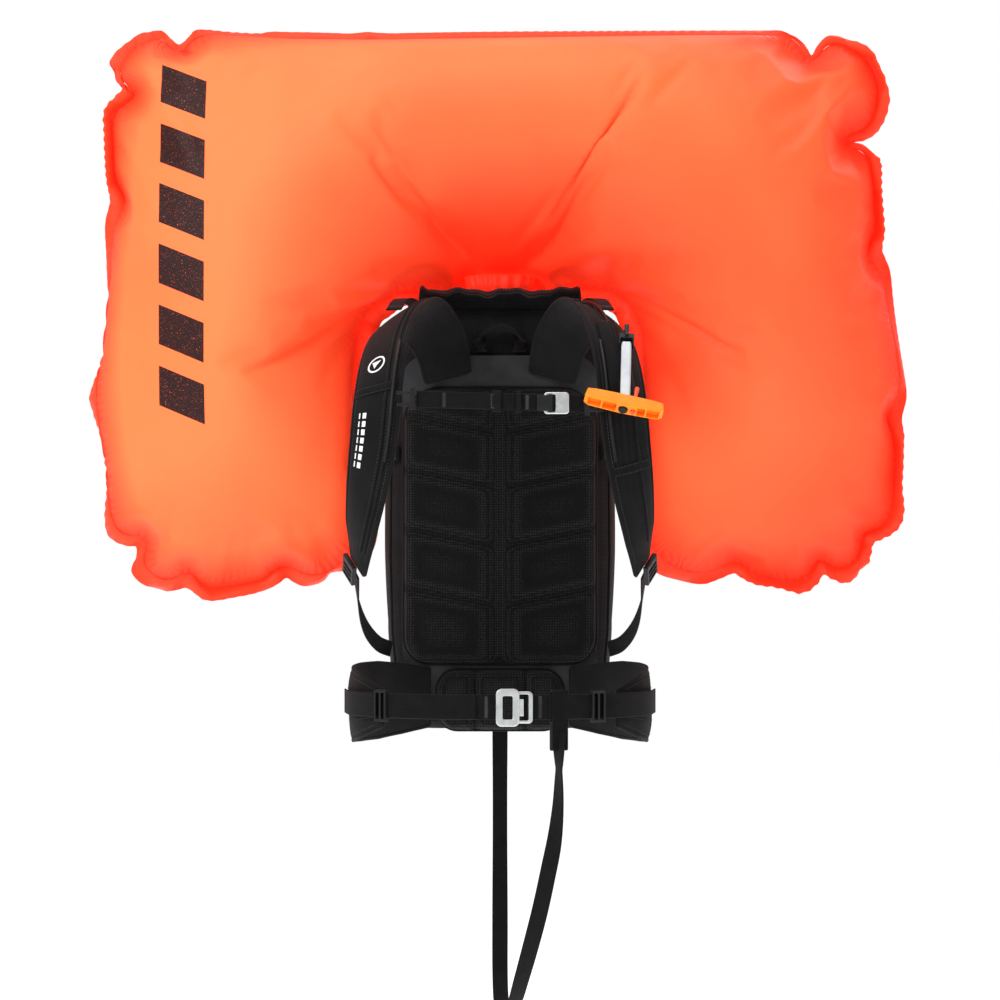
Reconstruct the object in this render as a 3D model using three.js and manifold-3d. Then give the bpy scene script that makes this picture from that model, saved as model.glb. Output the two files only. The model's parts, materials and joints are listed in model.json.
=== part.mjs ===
// Avalanche airbag backpack with its airbag deployed, in the shape it has on a wearer. Millimetres.
// +Z is up, -Y is the wearer's side and +X the wearer's left. The origin is on the flat contact
// face of the back pad, at the middle of the pack's height. The wearer's torso fills the space
// between the back pad, the shoulder straps, the chest strap and the hip belt.
import * as THREE from "three";
import { mergeVertices } from "three/addons/utils/BufferGeometryUtils.js";
import Module from "manifold-3d";

// ---------------------------------------------------------------- driving dimensions
const GAP = 0.3; // air between pieces that touch
const LEFT = 1;
const RIGHT = -1;
const WEBBING = { thick: 1.8, hip: 30, chest: 20, leg: 20, small: 20 };

// The soft pack: height, half width, near face and far face of each level.
const PACK = {
  wall: 2.5,
  levels: [
    [-262, 106, 44, 134],
    [-252, 122, 32, 162],
    [-215, 137, 26, 187],
    [-140, 144, 26, 203],
    [-40, 147, 26, 209],
    [60, 146, 26, 205],
    [150, 141, 26, 192],
    [215, 136, 26, 173],
    [258, 126, 30, 152],
    [272, 108, 40, 134],
  ],
  corner: 0.42, // exponent of the rounded section: smaller is squarer
};
const PANEL = { halfWidth: 106, bottom: -192, top: 140, gap: 1.2, topRadius: 62, lowRadius: 22,
  slider: [113, 208, -20] };
const MOUTH = { halfWidth: 96, near: 46, far: 120 }; // the burst airbag compartment, at the top

const BACK_PAD = { halfWidth: 122, bottom: -178, top: 172, thick: 18, lowRadius: 34, topRadius: 46 };
const LUMBAR = { halfWidth: 80, bottom: -262, top: -186, front: -8, thick: 26 };
const SHEET = { near: 18 + GAP, thick: 2, halfWidth: 124, bottom: -248, top: 214 };
const STAY = { width: 12, thick: 3, top: [52, 205], bottom: [88, -240] };

const AXE_LOOP = [[-6, 191, -210], [-14, 207, -230], [0, 214, -245], [14, 207, -230], [6, 191, -210]];
const GRAB_HANDLE = [[-25, 21, 219], [-24, 10, 240], [0, 2, 250], [24, 10, 240], [25, 21, 219]];
const SIDE_STRAP = { z: 90, line: [[128, 33], [147, 40], [151, 100], [149, 160], [134, 198], [114, 209]] };
// The torn-open flaps of the airbag compartment, from their hinge edge, in Y and Z.
const BURST_FLAPS = {
  rear: [[124, 275], [150, 289], [186, 276], [203, 240], [207, 196]],
  front: [[43, 274], [28, 291], [10, 297], [-6, 291]],
};

// The deployed airbag: a bar over the pack with a lobe hanging down each side of it.
const AIRBAG = {
  plane: 100, // y of its perimeter seam
  halfWidth: 519,
  top: 641,
  barBottom: 285,
  barDepth: 128,
  barReach: 459, // the bar runs this far into each lobe
  lobeInner: 172,
  lobeBottom: -95,
  lobeDepth: 152,
  wall: 2,
  square: 0.5, // exponent of the outline: smaller is squarer
};

// Venturi, valve and gas cartridge, in the top of the pack.
const INLET = { x: 0, y: 83, bore: 28, outer: 40, bottom: 206, top: 262, collarTop: 281 };
const VALVE = { x0: 40.6, x1: 104, y0: 62, y1: 104, z0: 200, z1: 240, boltX: 88 };
const CARTRIDGE = { radius: 29, bottom: -42, shoulder: 140, neck: 166, neckRadius: 11, threadRadius: 9.4,
  bore: 4, wall: 3 };
const PIN = { radius: 2, tip: 221, headBottom: 252, headTop: 256, headRadius: 6, bore: 3 };
const CABLE_HOLE = { x: 80, z: 240, radius: 5 };

// Shoulder strap: centre line of the wearer's left one, root to tip, and its width along it.
const STRAP = {
  thick: 13,
  line: [
    [66, 8, 186], [74, -6, 222], [90, -36, 250], [106, -80, 262], [121, -135, 255], [134, -190, 230],
    [142, -236, 192], [147, -264, 148], [152, -272, 95], [160, -262, 42], [168, -236, -8], [172, -200, -50],
  ],
  widths: [58, 64, 70, 72, 72, 70, 68, 66, 63, 58, 52, 38],
};
const LOWER_WEB = [[172, -193, -58], [171, -150, -95], [164, -96, -128], [151, -42, -150], [136, 16, -160]];
const LADDER_LOCK = { slots: [[2, 6], [-4, -1], [-11, -7]] };
const LOAD_LIFTER = [[131, -132, 264.5], [125, -90, 277.5], [116, -30, 282], [106, 12, 274], [104, 23, 262]];

// Hip belt, in plan, for the wearer's left side.
const HIP = {
  z: -220,
  webZ: -216,
  finLine: [[90, 8], [115, -16], [143, -50], [169, -98], [180, -148], [170, -198], [141, -240]],
  finHeights: [72, 84, 92, 92, 88, 72, 42],
  finThick: 13,
  webLine: [[190, -150], [180, -203.8], [149, -249.5], [110, -276], [60, -293.5], [20, -299]],
  glideAt: { left: 0.65, right: 0.46 },
  hookX: [-5, 23],
  ringX: [18, 39],
};

// Chest strap, from the wearer's right clip to the left one. It slopes a little.
const CHEST = {
  z: 147,
  slope: -0.03,
  line: [[-99, -291], [-50, -296.5], [0, -299], [47, -298]],
  leftLine: [[84, -295.5], [99, -292]],
  clipX: 108,
  clipY: -291,
  prong: 15, // how far a clip's prongs reach over its rail
};

// Trigger: the stem leaves its socket on the left strap and carries the T-shaped handle.
const TRIGGER = {
  socket: [151.8, -248.8, 217],
  direction: [-0.04, -0.645, -0.763],
  stemLength: 88,
  stemInside: 2,
  pocket: { along: [0.425, 0.47, 0.52, 0.57, 0.62], width: 40, thick: 10, inside: 6 },
  stemWidth: 12,
  stemThick: 6,
  bar: { length: 95, height: 18, depth: 18, wall: 2.4, pocket: 9,
    cells: [[-43, -27], [-25, -8.5], [16.5, 26], [28, 43]] }, // cells: the pockets in its lower face
  barLean: [0, 0.12, 0.14], // radians that the bar is tilted and twisted on the stem
  pinX: 12,
};

const CABLE = {
  diameter: 5,
  inside: 9,
  onStrap: [0.418, 0.38, 0.34, 0.3, 0.26, 0.22, 0.18, 0.13],
  end: [[80, 10, 246], [80, 26, 240], [80, 42, 238], [77, 59, 231]],
};

// Leg strap, from the loop on the hip belt, under the wearer and up to the bottom of the pack.
const LEG_STRAP = [
  [70, -294, -270], [70, -292, -300], [69, -288, -335], [65, -280, -375], [57, -268, -418], [48, -252, -462],
  [37, -230, -508], [26, -200, -552], [17, -163, -588], [9, -120, -608], [4, -75, -611], [1, -32, -594],
  [0, 5, -562], [0, 33, -518], [0, 50, -466], [0, 59, -410], [0, 64, -355], [0, 67, -308], [0, 68, -272],
];

// ---------------------------------------------------------------- materials
const paint = (color, roughness, metalness = 0) =>
  new THREE.MeshStandardMaterial({ color, roughness, metalness });
const AIRBAG_FABRIC = paint(0xff6a33, 0.55);
const PACK_FABRIC = paint(0x1c1c1d, 0.85);
const PANEL_FABRIC = paint(0x232426, 0.8);
const STRAP_FABRIC = paint(0x202020, 0.85);
const FOAM = paint(0x2b2c2e, 0.9);
const WEBBING_BLACK = paint(0x151515, 0.8);
const PLASTIC_BLACK = paint(0x101011, 0.45);
const ALUMINIUM = paint(0xbfc1c0, 0.3, 1);
const HANDLE_ORANGE = paint(0xfa8a25, 0.4);
const PIN_CORAL = paint(0xf8502c, 0.4);
const SLEEVE_GREY = paint(0xcfd2d3, 0.6);
const STEEL = paint(0xa9abad, 0.3, 1);
const CARTRIDGE_BLACK = paint(0x1a1b1d, 0.25);
const BUTTON_RED = paint(0xc9201a, 0.4);
const SHEET_PLASTIC = paint(0x3a3b3d, 0.6);

// ---------------------------------------------------------------- geometry helpers
const wasm = await Module();
wasm.setup();

const V = (x, y, z) => new THREE.Vector3(x, y, z);
const mirrored = (points, side) => points.map(([x, y, z]) => V(side * x, y, z));
const smooth = (points) => new THREE.CatmullRomCurve3(points, false, "centripetal");

/** The value at u, from 0 to 1, of a list of evenly spaced values. */
function along(values, u) {
  const at = Math.min(u, 0.99999) * (values.length - 1);
  const i = Math.floor(at);
  return THREE.MathUtils.lerp(values[i], values[i + 1], at - i);
}

/** A three.js geometry as a manifold-3d solid. */
function solidOf(geometry) {
  const flat = geometry.index ? geometry.toNonIndexed() : geometry;
  const bare = new THREE.BufferGeometry().setAttribute("position", flat.getAttribute("position"));
  const merged = mergeVertices(bare, 1e-4);
  return new wasm.Manifold(
    new wasm.Mesh({
      numProp: 3,
      vertProperties: merged.attributes.position.array,
      triVerts: new Uint32Array(merged.index.array),
    }),
  );
}

/** A manifold-3d solid as a three.js geometry. */
function geometryOf(solid) {
  const mesh = solid.getMesh();
  return new THREE.BufferGeometry()
    .setAttribute("position", new THREE.BufferAttribute(new Float32Array(mesh.vertProperties), 3))
    .setIndex(new THREE.BufferAttribute(new Uint32Array(mesh.triVerts), 1));
}

const joined = (first, ...others) =>
  geometryOf(others.reduce((solid, g) => solid.add(solidOf(g)), solidOf(first)));
const cut = (first, ...others) =>
  geometryOf(others.reduce((solid, g) => solid.subtract(solidOf(g)), solidOf(first)));

/** A closed skin over rings of points, with a fan over each end. */
function loft(rings) {
  const count = rings[0].length;
  const points = rings.flat();
  const faces = [];
  for (let i = 0; i + 1 < rings.length; i++)
    for (let j = 0; j < count; j++) {
      const a = i * count + j;
      const b = i * count + ((j + 1) % count);
      faces.push([a, b, a + count], [b, b + count, a + count]);
    }
  for (const [ring, start] of [[rings[0], 0], [rings.at(-1), points.length - count]]) {
    const middle = ring.reduce((sum, p) => sum.add(p), V(0, 0, 0)).divideScalar(count);
    const hub = points.push(middle) - 1;
    for (let j = 0; j < count; j++) {
      const face = [start + ((j + 1) % count), start + j, hub];
      faces.push(start === 0 ? face : face.reverse());
    }
  }
  const volume = faces.reduce((sum, [a, b, c]) =>
    sum + points[a].dot(V(0, 0, 0).crossVectors(points[b], points[c])), 0);
  const index = faces.flatMap((face) => (volume < 0 ? [face[0], face[2], face[1]] : face));
  return new THREE.BufferGeometry().setFromPoints(points).setIndex(index);
}

/** Away from the wearer: the direction that a strap's outer face has at a point. */
function awayFromWearer(p) {
  return V(0.65 * p.x, p.y + 130, p.z - Math.min(p.z, 120)).normalize();
}

/** Level and away from the wearer's middle, for a belt. */
const awayFromWaist = (p) => V(p.x, p.y + 146, 0).normalize();

/** The frame of a flat piece at u along a curve: the point, and unit vectors across and out. */
function frameAt(curve, u, away) {
  const point = curve.getPointAt(u);
  const tangent = curve.getTangentAt(u);
  const out = away(point);
  out.addScaledVector(tangent, -out.dot(tangent)).normalize();
  return { point, tangent, out, across: V(0, 0, 0).crossVectors(tangent, out) };
}

/** The place of a fitting on a curve, lifted off it: its X along the curve and its Y outward. */
function seatOn(curve, u, away, lift) {
  const { point, tangent, out, across } = frameAt(curve, u, away);
  return new THREE.Matrix4().makeBasis(tangent, out, across).setPosition(point.addScaledVector(out, lift));
}

/** A band with a rounded or plain edge, swept along a curve. Width and thickness may vary with u. */
function band(curve, { width, thick, steps = 16, away = awayFromWearer, edge = 0, lift = 0, aside = 0 }) {
  const rings = [];
  for (let i = 0; i <= steps; i++) {
    const u = i / steps;
    const { point, out, across } = frameAt(curve, u, away);
    const w = (typeof width === "function" ? width(u) : width) / 2;
    const t = thick / 2;
    const corners = edge
      ? [[w, t - edge], [w - edge, t], [edge - w, t], [-w, t - edge],
         [-w, edge - t], [edge - w, -t], [w - edge, -t], [w, edge - t]]
      : [[w, t], [-w, t], [-w, -t], [w, -t]];
    rings.push(corners.map(([a, o]) =>
      point.clone().addScaledVector(across, a + aside).addScaledVector(out, o + lift)));
  }
  return loft(rings);
}

/** A tube along a curve. */
function tube(curve, diameter, steps, sides = 8) {
  const section = new THREE.Shape();
  section.absarc(0, 0, diameter / 2, 0, 2 * Math.PI);
  return new THREE.ExtrudeGeometry(section, { steps, extrudePath: curve, curveSegments: sides / 2 });
}

/** An outline with rounded corners, from its low corner to its high corner. */
function roundedRectangle(x0, y0, x1, y1, low, high = low) {
  const s = new THREE.Shape();
  s.moveTo(x0 + low, y0);
  s.lineTo(x1 - low, y0);
  s.absarc(x1 - low, y0 + low, low, -Math.PI / 2, 0);
  s.lineTo(x1, y1 - high);
  s.absarc(x1 - high, y1 - high, high, 0, Math.PI / 2);
  s.lineTo(x0 + high, y1);
  s.absarc(x0 + high, y1 - high, high, Math.PI / 2, Math.PI);
  s.lineTo(x0, y0 + low);
  s.absarc(x0 + low, y0 + low, low, Math.PI, 1.5 * Math.PI);
  return s;
}

/** An outline in X and Z as a plate from y0, thick along +Y, with its edges eased by bevel. */
function plate(shape, y0, thick, bevel = 0) {
  const g = new THREE.ExtrudeGeometry(shape, {
    depth: thick - 2 * bevel,
    bevelEnabled: bevel > 0,
    bevelThickness: bevel,
    bevelSize: bevel,
    bevelOffset: -bevel,
    bevelSegments: 1,
    curveSegments: 3,
  });
  return g.rotateX(Math.PI / 2).translate(0, y0 + thick - bevel, 0);
}

/** A box from its low corner to its high corner. */
function box([x0, y0, z0], [x1, y1, z1]) {
  return new THREE.BoxGeometry(x1 - x0, y1 - y0, z1 - z0)
    .translate((x0 + x1) / 2, (y0 + y1) / 2, (z0 + z1) / 2);
}

/** A cylinder standing on z0. */
const post = (x, y, z0, z1, radius, sides = 24) =>
  new THREE.CylinderGeometry(radius, radius, z1 - z0, sides)
    .rotateX(Math.PI / 2)
    .translate(x, y, (z0 + z1) / 2);

/** A cylinder lying along Y. */
const rod = (x, z, y0, y1, radius, sides = 20) =>
  new THREE.CylinderGeometry(radius, radius, y1 - y0, sides).translate(x, (y0 + y1) / 2, z);

/** A frame with one window, standing in X and Z. */
const windowFrame = (x0, z0, x1, z1, radius, window, y0, thick) =>
  cut(plate(roundedRectangle(x0, z0, x1, z1, radius), y0, thick, 0.8),
    plate(roundedRectangle(...window), y0 - 1, thick + 2));

// ---------------------------------------------------------------- the group
const backpack = new THREE.Group();
backpack.name = "avalanche_airbag_backpack";

function add(name, geometry, material, parent = backpack) {
  const mesh = new THREE.Mesh(geometry, material);
  mesh.name = name;
  parent.add(mesh);
  return mesh;
}

const sides = [["left", LEFT], ["right", RIGHT]];

// ---------------------------------------------------------------- pack, panel and back
/** One level of the pack's section, pulled in by inset. */
function packRing([z, half, near, far], inset) {
  const points = [];
  const corners = 20;
  for (let j = 0; j < corners; j++) {
    const turn = (j / corners) * 2 * Math.PI;
    const [c, s] = [Math.cos(turn), Math.sin(turn)];
    const x = (half - inset) * Math.sign(c) * Math.abs(c) ** PACK.corner;
    const y = (near + far) / 2 + ((far - near) / 2 - inset) * Math.sign(s) * Math.abs(s) ** PACK.corner;
    points.push(V(x, y, z));
  }
  return points;
}

function packSkin(inset) {
  const [low, high] = [PACK.levels[0][0] + inset, PACK.levels.at(-1)[0] - inset];
  return loft(PACK.levels.map(([z, ...rest]) =>
    packRing([THREE.MathUtils.clamp(z, low, high), ...rest], inset)));
}

function addPack() {
  const shell = solidOf(packSkin(0)).subtract(solidOf(packSkin(PACK.wall)));
  const outline = (inset) =>
    plate(roundedRectangle(-PANEL.halfWidth + inset, PANEL.bottom + inset, PANEL.halfWidth - inset,
      PANEL.top - inset, PANEL.lowRadius, PANEL.topRadius), 150, 80);
  const mouth = box([-MOUTH.halfWidth, MOUTH.near, 262], [MOUTH.halfWidth, MOUTH.far, 290]);
  const cableHole = rod(CABLE_HOLE.x, CABLE_HOLE.z, 20, 40, CABLE_HOLE.radius);
  const open = [outline(0), mouth, cableHole].reduce((s, g) => s.subtract(solidOf(g)), shell);
  add("pack_shell", geometryOf(open), PACK_FABRIC);
  add("front_panel", geometryOf(shell.intersect(solidOf(outline(PANEL.gap)))), PANEL_FABRIC);

  const [x, y, z] = PANEL.slider;
  const slider = box([x - 5, y, z - 8], [x + 5, y + 6, z + 8]);
  const track = box([x - 1, y - 1, z - 9], [x + 1, y + 2, z + 9]);
  add("panel_zip_slider", cut(slider, track), PLASTIC_BLACK);
}

function addBack() {
  const { halfWidth, bottom, top, lowRadius, topRadius } = BACK_PAD;
  const pad = roundedRectangle(-halfWidth, bottom, halfWidth, top, lowRadius, topRadius);
  add("back_pad", plate(pad, 0, BACK_PAD.thick, 5), FOAM);
  const lumbar = roundedRectangle(-LUMBAR.halfWidth, LUMBAR.bottom, LUMBAR.halfWidth, LUMBAR.top, 26);
  add("lumbar_pad", plate(lumbar, LUMBAR.front, LUMBAR.thick, 7), FOAM);
  const sheet = roundedRectangle(-SHEET.halfWidth, SHEET.bottom, SHEET.halfWidth, SHEET.top, 30);
  add("frame_sheet", plate(sheet, SHEET.near, SHEET.thick), SHEET_PLASTIC);
  const [[topX, topZ], [lowX, lowZ]] = [STAY.top, STAY.bottom];
  const near = SHEET.near + SHEET.thick + GAP;
  const bars = sides.map(([, side]) =>
    box([-STAY.width / 2, near, 0], [STAY.width / 2, near + STAY.thick, topZ - lowZ])
      .rotateY(-side * Math.atan2(lowX - topX, topZ - lowZ)).translate(side * lowX, 0, lowZ));
  const bridge = box([-topX, near, topZ - STAY.width], [topX, near + STAY.thick, topZ]);
  add("frame_stay", joined(bridge, ...bars), ALUMINIUM);
  const grab = smooth(GRAB_HANDLE.map((p) => V(...p)));
  const forward = () => V(0, -1, 0.2);
  add("grab_handle", band(grab, { width: 18, thick: 3, steps: 12, away: forward }), WEBBING_BLACK);
}

function addBurstFlaps() {
  const width = 2 * MOUTH.halfWidth + 16;
  const away = () => V(0, 0.6, 1);
  for (const [name, line] of Object.entries(BURST_FLAPS)) {
    const curve = smooth(line.map(([y, z]) => V(0, y, z)));
    add("burst_flap_" + name, band(curve, { width, thick: 2, steps: 7, away }), PACK_FABRIC);
  }
}

function addSideStraps() {
  for (const [name, side] of sides) {
    const curve = smooth(SIDE_STRAP.line.map(([x, y]) => V(side * x, y, SIDE_STRAP.z)));
    const away = (p) => V(p.x, p.y - 110, 0);
    add("side_strap_" + name,
      band(curve, { width: WEBBING.small, thick: WEBBING.thick, steps: 14, away }), WEBBING_BLACK);
  }
  const loop = smooth(AXE_LOOP.map((p) => V(...p)));
  add("axe_loop", tube(loop, 5, 16, 6), WEBBING_BLACK);
}

// ---------------------------------------------------------------- harness
function addShoulderStraps() {
  for (const [name, side] of sides) {
    const line = smooth(mirrored(STRAP.line, side));
    const width = (u) => along(STRAP.widths, u);
    add("shoulder_strap_" + name,
      band(line, { width, thick: STRAP.thick, steps: 26, edge: 4 }), STRAP_FABRIC);

    const lower = smooth(mirrored(LOWER_WEB, side));
    add("lower_web_" + name,
      band(lower, { width: WEBBING.small, thick: WEBBING.thick, lift: 3 }), WEBBING_BLACK);
    const lifter = smooth(mirrored(LOAD_LIFTER, side));
    add("load_lifter_" + name,
      band(lifter, { width: WEBBING.small, thick: WEBBING.thick, away: () => V(0, 0.2, 1) }), WEBBING_BLACK);

    const slots = LADDER_LOCK.slots.map(([z0, z1]) => box([-11, -5, z0], [11, 5, z1]));
    const lock = cut(box([-15, -3, -14], [15, 3, 14]), ...slots);
    const tip = frameAt(line, 1, awayFromWearer);
    const turn = new THREE.Matrix4().makeBasis(tip.across, tip.out, tip.tangent.clone().negate());
    const seat = tip.point.clone().addScaledVector(tip.tangent, 2).addScaledVector(tip.out, 11.5);
    add("ladder_lock_" + name, lock.applyMatrix4(turn.setPosition(seat)), PLASTIC_BLACK);

    const rail = smooth([0.5, 0.56, 0.62, 0.68, 0.74].map((u) => {
      const { point, out, across } = frameAt(line, u, awayFromWearer);
      const inner = side * (along(STRAP.widths, u) / 2 - 4);
      return point.addScaledVector(across, inner).addScaledVector(out, STRAP.thick / 2 + 2.6);
    }));
    add("chest_rail_" + name, tube(rail, 4, 14, 6), PLASTIC_BLACK);
  }
}

/** The chest strap's height at x. */
const chestZ = (x) => CHEST.z + CHEST.slope * x;

function addChestStrap() {
  const forward = () => V(0, -1, 0);
  const web = (line) => band(smooth(line.map(([x, y]) => V(x, y, chestZ(x)))),
    { width: WEBBING.chest, thick: WEBBING.thick, steps: 12, away: forward });
  add("chest_web_right", web(CHEST.line), WEBBING_BLACK);
  add("chest_web_left", web(CHEST.leftLine), WEBBING_BLACK);

  for (const [name, side] of sides) {
    const z = chestZ(side * CHEST.clipX);
    const y = CHEST.clipY;
    const span = (from, to) => [side * (CHEST.clipX + from), side * (CHEST.clipX + to)].sort((a, b) => a - b);
    const [bar0, bar1] = span(-7, -1);
    const [prong0, prong1] = span(-2, CHEST.prong);
    const prong = (dz) => box([prong0, y - 6, z + dz - 2], [prong1, y - 3, z + dz + 2]);
    const bar = box([bar0, y - 6, z - 13], [bar1, y + 3, z + 13]);
    add("chest_clip_" + name, joined(bar, prong(-7), prong(7)), PLASTIC_BLACK);
  }

  const z = chestZ(70);
  const ring = windowFrame(52, z - 13, 82, z + 13, 4, [56.5, z - 10.5, 66, z + 10.5, 2], -303, 4);
  add("chest_ring", ring, ALUMINIUM);
  const tongue = box([58.6, -303, z - 8], [62, -298.6, z + 8]);
  const hook = joined(box([44, -308.4, z - 9.5], [62, -304.6, z + 9.5]), tongue,
    box([44, -306, z - 9.5], [47, -299.9, z + 9.5]));
  add("chest_hook", joined(hook, box([58.6, -306, z - 8], [62, -302, z + 8])), PLASTIC_BLACK);
}

function addHipBelt() {
  const glide = () => cut(box([-9, -3, -19], [9, 3, 19]), box([-6.5, -5, -15.6], [-1.5, 5, 15.6]),
    box([1.5, -5, -15.6], [6.5, 5, 15.6]));
  for (const [name, side] of sides) {
    const fin = smooth(HIP.finLine.map(([x, y]) => V(side * x, y, HIP.z)));
    add("hip_fin_" + name, band(fin, {
      width: (u) => along(HIP.finHeights, u), thick: HIP.finThick, steps: 16, edge: 4, away: awayFromWaist,
    }), STRAP_FABRIC);

    const end = side === LEFT ? HIP.ringX[1] - 2 : HIP.hookX[0] + 1;
    const points = HIP.webLine.slice(0, 5).map(([x, y]) => V(side * x, y, HIP.webZ));
    points.push(V(side === LEFT ? end : -20, -298, HIP.webZ));
    if (side === RIGHT) points.push(V(end, -299.5, HIP.webZ));
    const web = smooth(points);
    const width = WEBBING.hip;
    add("hip_web_" + name,
      band(web, { width, thick: WEBBING.thick, steps: 20, away: awayFromWaist }), WEBBING_BLACK);
    add("tri_glide_" + name, glide().applyMatrix4(seatOn(web, HIP.glideAt[name], awayFromWaist, 4.4)),
      PLASTIC_BLACK);
  }

  const z = HIP.webZ;
  const [h0, h1] = HIP.hookX;
  const [r0, r1] = HIP.ringX;
  const hook = windowFrame(h0, z - 22.5, h1, z + 22.5, 7, [h0 + 8, z - 14, h1 - 8, z + 14, 2], -311, 5);
  add("buckle_hook", joined(hook, box([h1 - 0.5, -309, z - 10], [h1 + 5, -305.5, z + 10]),
    box([h1 + 3, -307, z - 10], [h1 + 5, -303.6, z + 10])), ALUMINIUM);
  add("buckle_ring",
    windowFrame(r0, z - 19, r1, z + 19, 5, [r0 + 4.5, z - 15.5, r1 - 5, z + 15.5, 2], -304.6, 4), ALUMINIUM);
}

function addLegStrap() {
  const route = smooth(LEG_STRAP.map(([x, y, z]) => V(x, y, z)));
  const across = V(1, 0, 0);
  const away = (p) => V(0, p.y + 110, p.z + 300).cross(across).cross(across).negate();
  add("leg_strap",
    band(route, { width: WEBBING.leg, thick: WEBBING.thick, steps: 60, away }), WEBBING_BLACK);

  const z = HIP.webZ;
  const ring = new THREE.Shape();
  ring.setFromPoints(roundedRectangle(-4.6, z - 52, 4.6, z + 20, 3).getPoints(3));
  ring.holes.push(new THREE.Path(roundedRectangle(-2.8, z - 17, 2.8, z + 17.5, 2).getPoints(2)));
  const loop = new THREE.ExtrudeGeometry(ring,
    { depth: WEBBING.leg, bevelEnabled: false, curveSegments: 3 });
  loop.translate(0, 0, -WEBBING.leg / 2).rotateX(Math.PI / 2).rotateZ(Math.PI / 2 + 0.37);
  add("leg_loop", loop.translate(70, -289.5, 0), WEBBING_BLACK);
}

// ---------------------------------------------------------------- trigger
function addTrigger() {
  const strap = smooth(mirrored(STRAP.line, LEFT));
  const { pocket } = TRIGGER;
  const lift = STRAP.thick / 2 + 0.8 + pocket.thick / 2;
  const stretch = smooth(pocket.along.map((u) => strap.getPointAt(u)));
  add("trigger_pocket",
    band(stretch, {
      width: pocket.width, thick: pocket.thick, steps: 8, edge: 4, lift, aside: pocket.inside,
    }), STRAP_FABRIC);

  const arm = new THREE.Group();
  const down = V(...TRIGGER.direction).normalize();
  const up = down.clone().negate();
  const side = V(1, 0, 0).addScaledVector(up, -up.x).normalize();
  arm.setRotationFromMatrix(new THREE.Matrix4().makeBasis(side, V(0, 0, 0).crossVectors(up, side), up));
  arm.position.set(...TRIGGER.socket);
  backpack.add(arm);

  const { stemLength, stemInside, stemWidth, stemThick, bar } = TRIGGER;
  const socket = cut(box([-9, -5.5, -3], [9, 5.5, 13]), box([-7.2, -8, -6], [7.2, 4.2, 6]));
  add("trigger_socket", socket, PLASTIC_BLACK, arm);
  const stem = roundedRectangle(-stemWidth / 2, -stemThick / 2, stemWidth / 2, stemThick / 2, 2.8);
  stem.holes.push(new THREE.Path().absarc(0, 0, 1.8, 0, 2 * Math.PI));
  const sleeve = new THREE.ExtrudeGeometry(stem,
    { depth: stemLength, bevelEnabled: false, curveSegments: 4 });
  add("trigger_stem", sleeve.translate(0, 0, stemInside - stemLength), SLEEVE_GREY, arm);

  const handle = new THREE.Group();
  handle.position.set(0, 0, stemInside - stemLength - GAP);
  handle.rotation.set(...TRIGGER.barLean);
  arm.add(handle);
  const half = bar.length / 2;
  const outline = new THREE.Shape([
    [-half, -13], [-half + 6, -17], [0, -bar.height - 1], [half - 6, -17], [half, -13],
    [half - 2, -3], [half - 12, -1.5], [12, -1], [-12, -1], [12 - half, -1.5], [2 - half, -3],
  ].map(([x, z]) => new THREE.Vector2(x, z)));
  const solidBar = plate(outline, -bar.depth / 2, bar.depth, 1.6);
  const pockets = [];
  for (const [x0, x1] of bar.cells)
    pockets.push(box([x0, -bar.depth / 2 + bar.wall, -30], [x1, bar.depth / 2 - bar.wall, -19 + bar.pocket]));
  const pinHole = post(TRIGGER.pinX, 0, -30, 10, 2.9, 12);
  const cableHole = post(0, 0, -8, 10, 1.5, 8);
  const buttonSeat = post(0, 0, -30, -14, 5.6, 20);
  add("handle_bar", cut(solidBar, ...pockets, pinHole, cableHole, buttonSeat), HANDLE_ORANGE, handle);
  add("cable_stop", post(0, 0, -21, -14 - GAP, 5.2, 20), PLASTIC_BLACK, handle);
  const pin = new THREE.LatheGeometry([
    [0, -23], [2.3, -23], [2.3, 12], [3, 13.5], [2, 15], [3, 16.5], [2.6, 19], [0, 20],
  ].map(([r, z]) => new THREE.Vector2(r, z)), 10);
  add("lock_pin", pin.rotateX(Math.PI / 2).translate(TRIGGER.pinX, 0, 0), PIN_CORAL, handle);

  const cable = new THREE.CylinderGeometry(0.9, 0.9, stemLength - 2, 8).rotateX(Math.PI / 2);
  add("release_cable", cable.translate(0, 0, stemInside - stemLength / 2 - 3), STEEL, arm);

  const pull = joined(box([-3, -8.8, 15], [3, -6, 25]), box([-2, -8.8, 8], [2, -7.4, 16]));
  add("pocket_zip_pull", pull, PLASTIC_BLACK, arm);
}

/** The housing runs from the trigger's pocket over the left strap, and into the pack to the valve. */
function addCableHousing() {
  const strap = smooth(mirrored(STRAP.line, LEFT));
  const onStrap = CABLE.onStrap.map((u) => {
    const { point, out, across } = frameAt(strap, u, awayFromWearer);
    return point.addScaledVector(out, STRAP.thick / 2 + 4).addScaledVector(across, CABLE.inside);
  });
  const route = smooth([...onStrap, ...CABLE.end.map((p) => V(...p))]);
  add("cable_housing", tube(route, CABLE.diameter, 40), PLASTIC_BLACK);
}

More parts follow.
